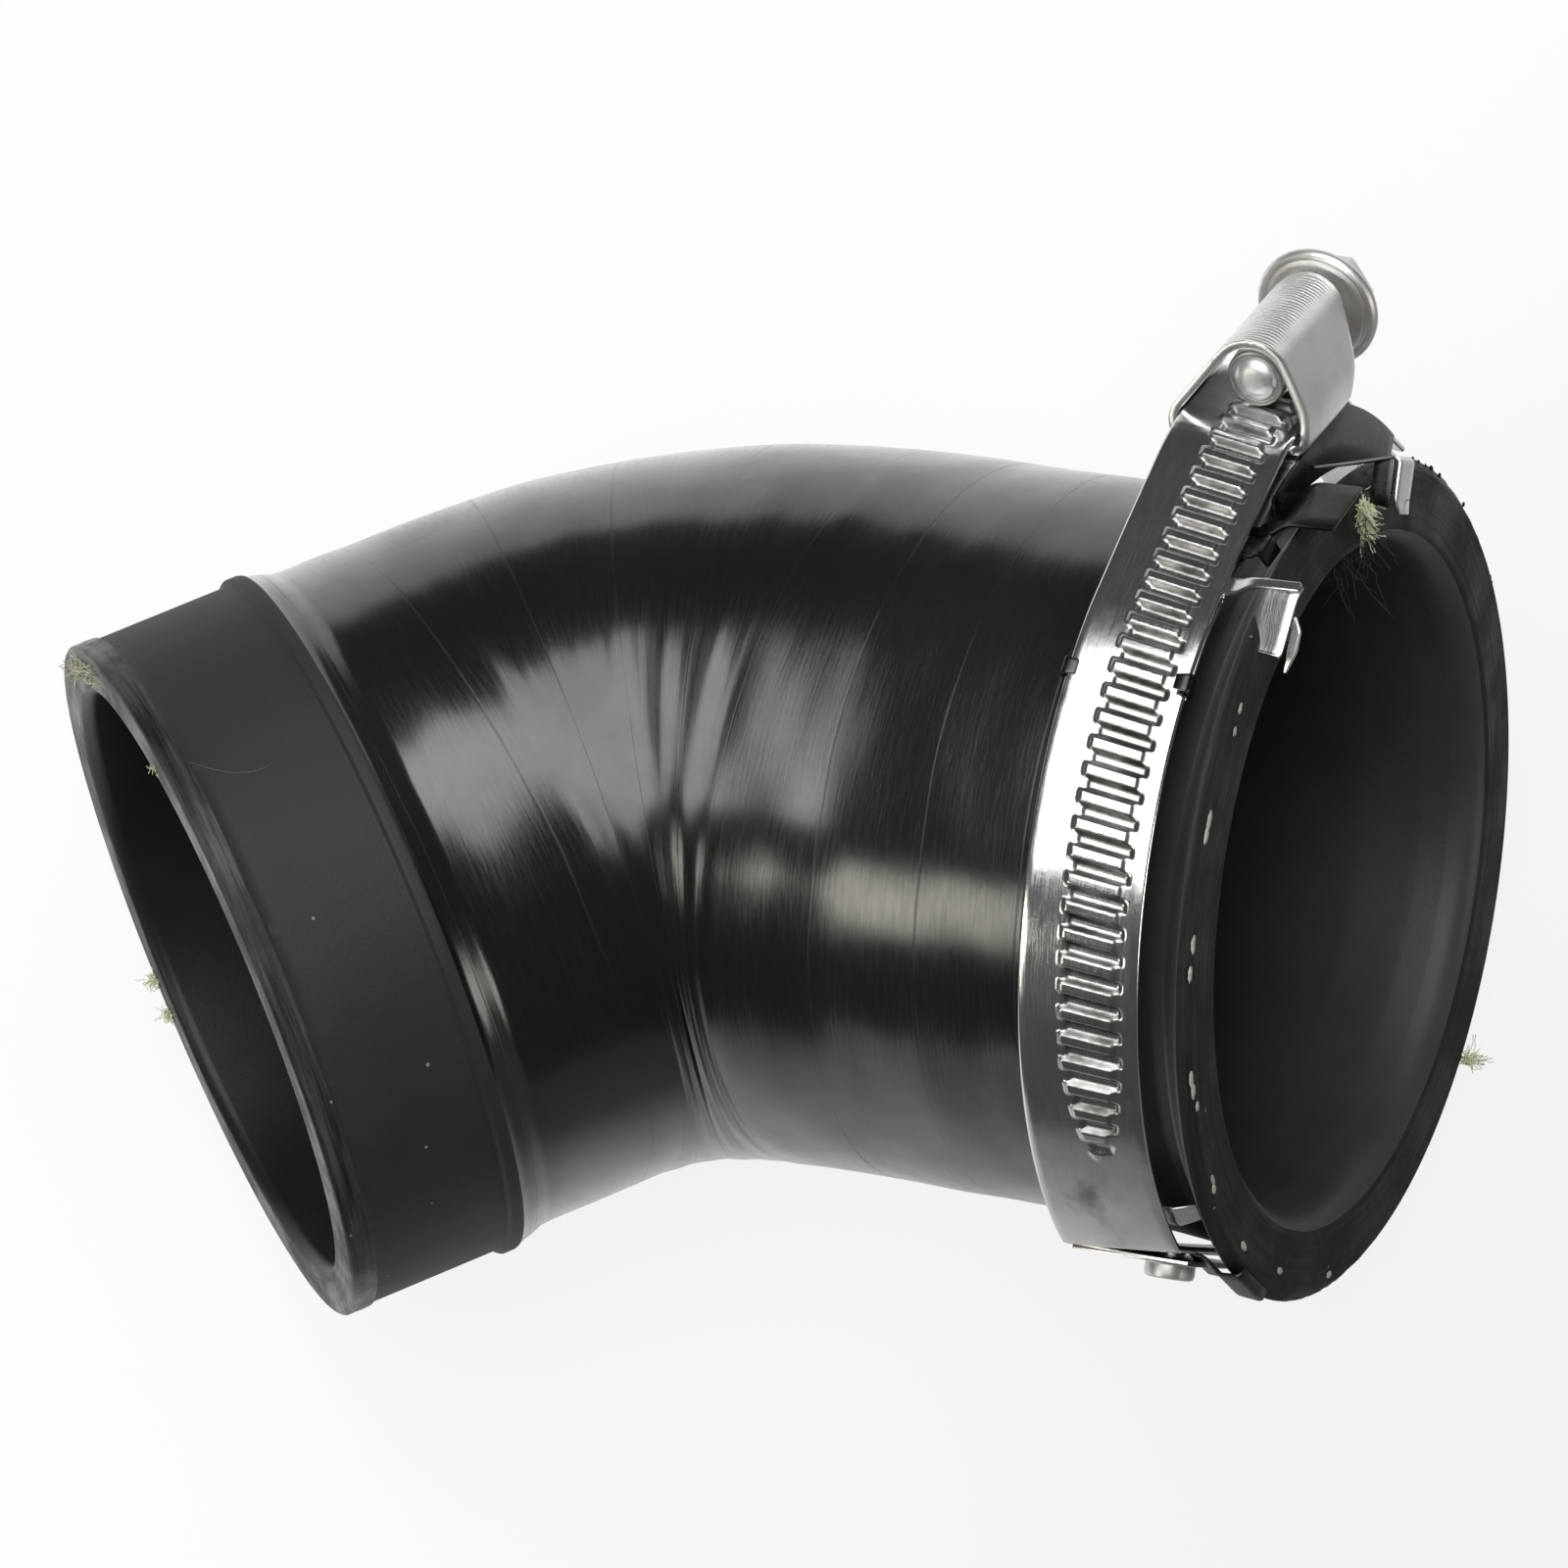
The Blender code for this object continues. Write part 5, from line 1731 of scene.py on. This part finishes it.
@dataclass
class Fibres:
    """Loose threads that stick out of the cut ends, and one hair on the cuff.

    A tuft is its root's radius and angle on the cut end, its direction, its threads' length
    and count, and how far apart their roots are.
    """

    seed: int = 7
    mouth_tufts: tuple = (
        (38.0, 24.4, (0.2, 0.0, -1.0), 1.7, 300, 1.7),
        (36.0, 25.2, (0.3, 0.0, -0.8), 1.5, 200, 1.2),
        (41.3, 158.0, (0.5, 0.5, -0.1), 2.0, 60, 1.0),
    )
    cuff_tufts: tuple = (
        (34.2, -37.6, (-0.5, 0.2, -0.6), 1.1, 110, 1.0),
        (34.2, -43.5, (-0.3, 0.1, -0.9), 1.5, 50, 0.7),
    )
    mouth_fuzz: tuple = (
        (35.5, 19.0, (0.3, -0.2, -0.6), 4.2, 60, 5.0),
        (39.5, 27.0, (0.3, 0.3, 0.2), 3.4, 26, 2.4),
    )
    cuff_ends: tuple = (
        *((33.2, angle, (-0.4, 0.1, 0.2), 0.9, 30, 1.5) for angle in np.arange(46.0, 68.0, 3.0)),
        (32.4, 99.0, (-0.3, 0.1, -0.2), 1.0, 24, 0.9),
    )
    hair_points: int = 21

    def threads(self, name: str, paths: list, width: float,
                finish: bpy.types.Material) -> bpy.types.Object:
        """Return thin round threads as one mesh.

        Args:
            name: Name of the new object.
            paths: A path of points of the hose's frame for each thread.
            width: The threads' radius, in mm.
            finish: Their material.

        Returns:
            The finished piece.
        """
        curve = bpy.data.curves.new(name, "CURVE")
        curve.dimensions = "3D"
        curve.bevel_depth = width * MM
        curve.bevel_resolution = 1
        for path in paths:
            spline = curve.splines.new("POLY")
            spline.points.add(len(path) - 1)
            for point, place in zip(spline.points, PLACING.points(np.array(path))):
                point.co = (*place, 1.0)
        item = bpy.data.objects.new(name, curve)
        bpy.context.scene.collection.objects.link(item)
        select_only(item)
        bpy.ops.object.convert(target="MESH")
        item = bpy.context.object
        item.data.materials.append(finish)
        bpy.ops.object.shade_smooth()
        LOG.info("%s: %d threads", name, len(paths))
        return adopt(item, Body.ROOT, Slot.RUBBER)

    def tuft(self, root: np.ndarray, way: tuple, length: float, count: int, spread: float) -> list:
        """Return the wavy paths of a tuft's threads.

        Args:
            root: Where the tuft stands.
            way: The direction it points in.
            length: Length of its longest threads.
            count: How many threads it has.
            spread: How far apart their roots are.

        Returns:
            A path for each thread.
        """
        chance = np.random.default_rng(self.seed + int(abs(root).sum() * 10))
        shares = np.linspace(0.0, 1.0, 9)[:, None]
        paths = []
        for _ in range(count):
            start = root + chance.normal(0.0, spread * 0.3, 3)
            aim = np.array(way) + chance.normal(0.0, 0.45, 3)
            aim = aim / np.linalg.norm(aim)
            reach = length * chance.uniform(0.45, 1.0)
            sway = chance.normal(0.0, 0.35, 3) * reach
            path = start + aim * shares * reach + sway * shares**2
            paths.append(path + chance.normal(0.0, 0.05, path.shape))
        return paths

    def tufts(self, point: Callable, rows: tuple) -> list:
        """Return the threads' paths of several tufts whose roots one function places.

        Args:
            point: The function that gives a root from a radius and an angle.
            rows: The tufts, each as this class says.

        Returns:
            A path for each thread of every tuft.
        """
        paths = []
        for radius, angle, *shape in rows:
            paths += self.tuft(point(radius, angle), *shape)
        return paths

    def hair(self) -> list:
        """Return the path of the hair that lies on the cuff.

        Returns:
            Points of the hose's frame.
        """
        path = []
        for k in range(self.hair_points):
            turn = 99.6 + 7.2 * math.sin(k / 10.0) + 0.2 * k
            path.append(cuff_end_point(CUFF_RADIUS + 0.12, turn, 52.2 - 0.44 * k))
        return path

    def build(self, yarn: bpy.types.Material) -> None:
        """Add the tufts, the dark fuzz, the yarn's frayed ends and the hair.

        Args:
            yarn: The material of the frayed ends.
        """
        pale = Yarn("pale_yarn", colour=(0.97, 0.98, 0.7)).build()
        dark = Yarn("dark_fuzz", colour=(0.03, 0.03, 0.04)).build()
        tufts = self.tufts(mouth_point, self.mouth_tufts)
        tufts += self.tufts(cuff_end_point, self.cuff_tufts)
        self.threads("fibre_tufts", tufts, 0.045, pale)
        self.threads("dark_fuzz", self.tufts(mouth_point, self.mouth_fuzz), 0.04, dark)
        self.threads("end_fibres", self.tufts(cuff_end_point, self.cuff_ends), 0.04, yarn)
        brown = Yarn("hair", colour=(0.22, 0.22, 0.17)).build()
        self.threads("hair", [self.hair()], 0.024, brown)


@dataclass
class Crumbs:
    """Cut yarn ends in the mouth's face, and crumbs of rubber along its rim.

    An end is its angle and radius on the face and its length.
    """

    seed: int = 11
    crumbs: int = 34
    ends: tuple = (
        (-23.2, 39.6, 0.8), (-26.5, 39.3, 0.6), (-40.6, 40.2, 2.6), (-56.4, 40.2, 1.2),
        (-60.4, 40.4, 1.0), (-76.6, 40.3, 2.4), (-80.5, 39.9, 0.7), (-95.3, 39.5, 1.7),
        (-112.6, 38.8, 1.4), (-128.6, 38.6, 0.9), (-148.4, 39.6, 0.8),
    )

    def lump(self, place: Matrix, size: tuple, chance: np.random.Generator) -> bpy.types.Object:
        """Return one uneven lump.

        Args:
            place: Its frame.
            size: Half of its size along each axis of that frame.
            chance: Where its unevenness is drawn from.

        Returns:
            The new object.
        """
        bpy.ops.object.select_all(action="DESELECT")
        bpy.ops.mesh.primitive_ico_sphere_add(subdivisions=3, radius=1.0)
        item = bpy.context.object
        mesh = item.data
        points = np.zeros(len(mesh.vertices) * 3)
        mesh.vertices.foreach_get("co", points)
        points = points.reshape(-1, 3)
        phase = chance.uniform(0.0, 6.0, 3)
        bulge = wobble(points[:, 0] * 2.3 + phase[0], points[:, 1] * 2.9 + phase[1])
        points = points * (1 + 0.28 * bulge)[:, None] * np.array(size)
        mesh.vertices.foreach_set("co", PLACING.points(moved(points, place)).ravel())
        mesh.update()
        return item

    def build(self, yarn: bpy.types.Material, rubber: bpy.types.Material) -> None:
        """Add the yarn ends and the crumbs.

        Args:
            yarn: The ends' material.
            rubber: The crumbs' material.
        """
        chance = np.random.default_rng(self.seed)
        ends = []
        for angle, radius, length in self.ends:
            count = 2 if length > 1.5 else 1
            for k in range(count):
                turn = angle + (k - (count - 1) / 2) * length * 0.8
                place = ring_place(turn, radius + chance.uniform(-0.2, 0.2), MOUTH_LENGTH - 0.02)
                ends.append(self.lump(place, (0.16, length / (1.6 * count) + 0.15, 0.36), chance))
        crumbs = []
        for angle in chance.uniform(45.0, 175.0, self.crumbs):
            depth = chance.uniform(0.5, 1.6)
            size = chance.uniform(0.12, 0.36)
            place = ring_place(angle, MOUTH_RADIUS - 0.2, MOUTH_LENGTH - depth)
            crumbs.append(self.lump(place, (size * 0.7, size, size * 1.3), chance))
        for name, items, finish in (("yarn_ends", ends, yarn), ("rim_crumbs", crumbs, rubber)):
            for item in items:
                item.data.materials.append(finish)
            item = join(name, items)
            clean(item, 60.0)
            LOG.info("%s: %d", name, len(items))
            adopt(item, Body.ROOT, Slot.RUBBER)


# Studio


@dataclass(frozen=True)
class Softbox:
    """One rectangular light that looks at the hose."""

    name: str
    place: tuple
    size: tuple
    radiance: float
    colour: tuple
    level: bool = False

    def build(self) -> bpy.types.Object:
        """Return the light, aimed at the middle of the hose unless it hangs level.

        Returns:
            The light's object.
        """
        light = bpy.data.lights.new(self.name, "AREA")
        light.shape = "RECTANGLE"
        light.size, light.size_y = self.size
        light.energy = self.radiance * math.pi * self.size[0] * self.size[1]
        light.color = self.colour
        item = bpy.data.objects.new(self.name, light)
        bpy.context.scene.collection.objects.link(item)
        item.location = self.place
        if not self.level:
            way = Vector(self.place) - Vector((0.0, 0.0, 0.04))
            item.rotation_euler = way.to_track_quat("Z", "Y").to_euler()
        return item


@dataclass
class Studio:
    """Camera, lights, floor and surroundings.

    The camera's eye and axes are in the hose's frame; the lights are placed in metres in the
    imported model's.
    """

    eye: tuple = (485.3, -767.5, 776.2)
    right: tuple = (0.9063, 0.3847, -0.1748)
    up: tuple = (-0.1378, 0.6601, 0.7384)
    back: tuple = (0.3995, -0.6452, 0.6513)
    lens: float = 276.7
    floor_size: float = 8.0
    floor_glow: float = 0.86
    mirrored_glow: float = 0.6
    behind: tuple = (-0.9, 0.43, 0.0)
    air: tuple = (0.065, 0.065, 0.068, 1.0)
    lights: tuple = (
        Softbox("overhead", (-0.095, 0.375, 1.67), (1.55, 1.95), 3.6, (0.975, 1.0, 0.985), True),
        Softbox("warm_side", (-0.56, -0.58, 0.63), (0.22, 0.33), 4.8, (1.0, 0.97, 0.86)),
        Softbox("low_side", (0.95, -0.12, 0.3), (0.35, 0.3), 4.0, (1.0, 0.98, 0.9)),
    )

    def camera(self) -> None:
        """Add the camera where the photograph was taken from."""
        data = bpy.data.cameras.new("camera")
        data.lens = self.lens
        data.sensor_width = 36.0
        data.clip_end = 20.0
        item = bpy.data.objects.new("camera", data)
        bpy.context.scene.collection.objects.link(item)
        axes = [PLACING.way(way) for way in (self.right, self.up, self.back)]
        matrix = Matrix(axes).transposed().to_4x4()
        matrix.translation = Vector(PLACING.points(np.array(self.eye)))
        item.matrix_world = matrix
        bpy.context.scene.camera = item

    def floor(self) -> None:
        """Add the pale floor.

        The camera sees it as the photograph's white. Towards the camera it is painted dark and
        doesn't glow in reflections, a painted shade, because the photograph's glossy rubber shows a
        dark room there.
        """
        bpy.ops.object.select_all(action="DESELECT")
        bpy.ops.mesh.primitive_plane_add(size=self.floor_size)
        item = bpy.context.object
        item.name = "floor"
        material = bpy.data.materials.new("floor_paper")
        material.use_nodes = True
        tree = Tree(material.node_tree)
        shader = material.node_tree.nodes["Principled BSDF"]
        place, _ = tree.places()
        # Painted shade: towards the camera the floor's colour turns dark grey and its glow in
        # reflections fades out.
        lit = tree.ramp(tree.along(place, self.behind), -0.11, 0.02)
        paper = tree.mix(tree.noise(place, 3.0), grey(0.86), grey(0.9))
        shade = tree.mix(lit, grey(0.2), paper)
        Finish.link(tree, shader, Base_Color=shade, Roughness=0.9, Specular_IOR_Level=0.1)
        rays = tree.add("ShaderNodeLightPath").outputs
        seen = tree.times(rays["Is Camera Ray"], self.floor_glow)
        shone = tree.math("MAXIMUM", rays["Is Glossy Ray"], rays["Is Transmission Ray"])
        shone = tree.times(shone, tree.times(lit, self.mirrored_glow))
        white = tree.add("ShaderNodeEmission", {"Strength": 1.0})
        inputs = {0: tree.math("MAXIMUM", seen, shone), 1: shader.outputs[0], 2: white.outputs[0]}
        mixed = tree.add("ShaderNodeMixShader", inputs)
        output = material.node_tree.nodes["Material Output"]
        tree.tree.links.new(mixed.outputs[0], output.inputs["Surface"])
        item.data.materials.append(material)

    def build(self) -> None:
        """Add everything that isn't the object."""
        self.camera()
        self.floor()
        for light in self.lights:
            light.build()
        world = bpy.data.worlds.new("studio")
        bpy.context.scene.world = world
        world.use_nodes = True
        world.node_tree.nodes["Background"].inputs["Color"].default_value = self.air
        bpy.context.scene.view_settings.view_transform = "Standard"


def main() -> None:
    """Build the scene."""
    logging.basicConfig(level=logging.INFO)
    GROUPS["specks"] = specks_group()
    GROUPS["streaks"] = streaks_group()
    cut_end = CutRubber("cut_end", level=0.035, bright=0.16, roughness=0.45).build()
    ground = CutRubber("ground_ring", level=0.02, bright=0.07, roughness=0.4).build()
    cuff = MattRubber("cuff_rubber", level=0.021, roughness=0.6, lint=0.05).build()
    body = WrappedRubber("wrapped_rubber").build()
    seat = MattRubber("seat_rubber", level=0.034, roughness=0.34, lint=0.01).build()
    cut_mouth = CutRubber("cut_mouth", level=0.018, bright=0.028, roughness=0.55).build()
    bore = BoreRubber("bore_rubber", level=0.042, roughness=0.4, lint=0.004, grain=0.4).build()
    strip = ToothedSteel("strip_steel", level=0.8, roughness=0.12).build()
    housing = RidgedSteel("housing_steel", level=0.93, roughness=0.27).build()
    screw = Steel("screw_steel", level=0.88, roughness=0.38, tarnish=0.25).build()
    brown = Steel("screw_rim", level=0.4, roughness=0.3, tarnish=1.0).build()
    thin = Steel("retainer_steel", level=0.84, roughness=0.16, tarnish=0.2).build()
    # A darker copy of the retainers' steel: painted shade on the ears, far hook, apron, lug, side
    # plate and bottom hook, with some tarnish.
    painted_shade_and_tarnish = Steel("shaded_steel", level=0.07, roughness=0.24, tarnish=0.6).build()
    yarn = Yarn("yarn").build()
    dust = Yarn("yarn_ends", colour=(0.55, 0.55, 0.5)).build()

    Hose().build([cut_end, ground, cuff, body, seat, cut_mouth, bore])
    Band().build(strip)
    Housing().build(housing)
    Screw().build(screw, brown)
    TopRetainer().build(thin, painted_shade_and_tarnish)
    bottom = BottomRetainer()
    bottom.bar(thin, painted_shade_and_tarnish)
    bottom.rivet(screw)
    Fibres().build(yarn)
    Crumbs().build(dust, cut_mouth)

    Studio().build()


if __name__ == "__main__":
    main()
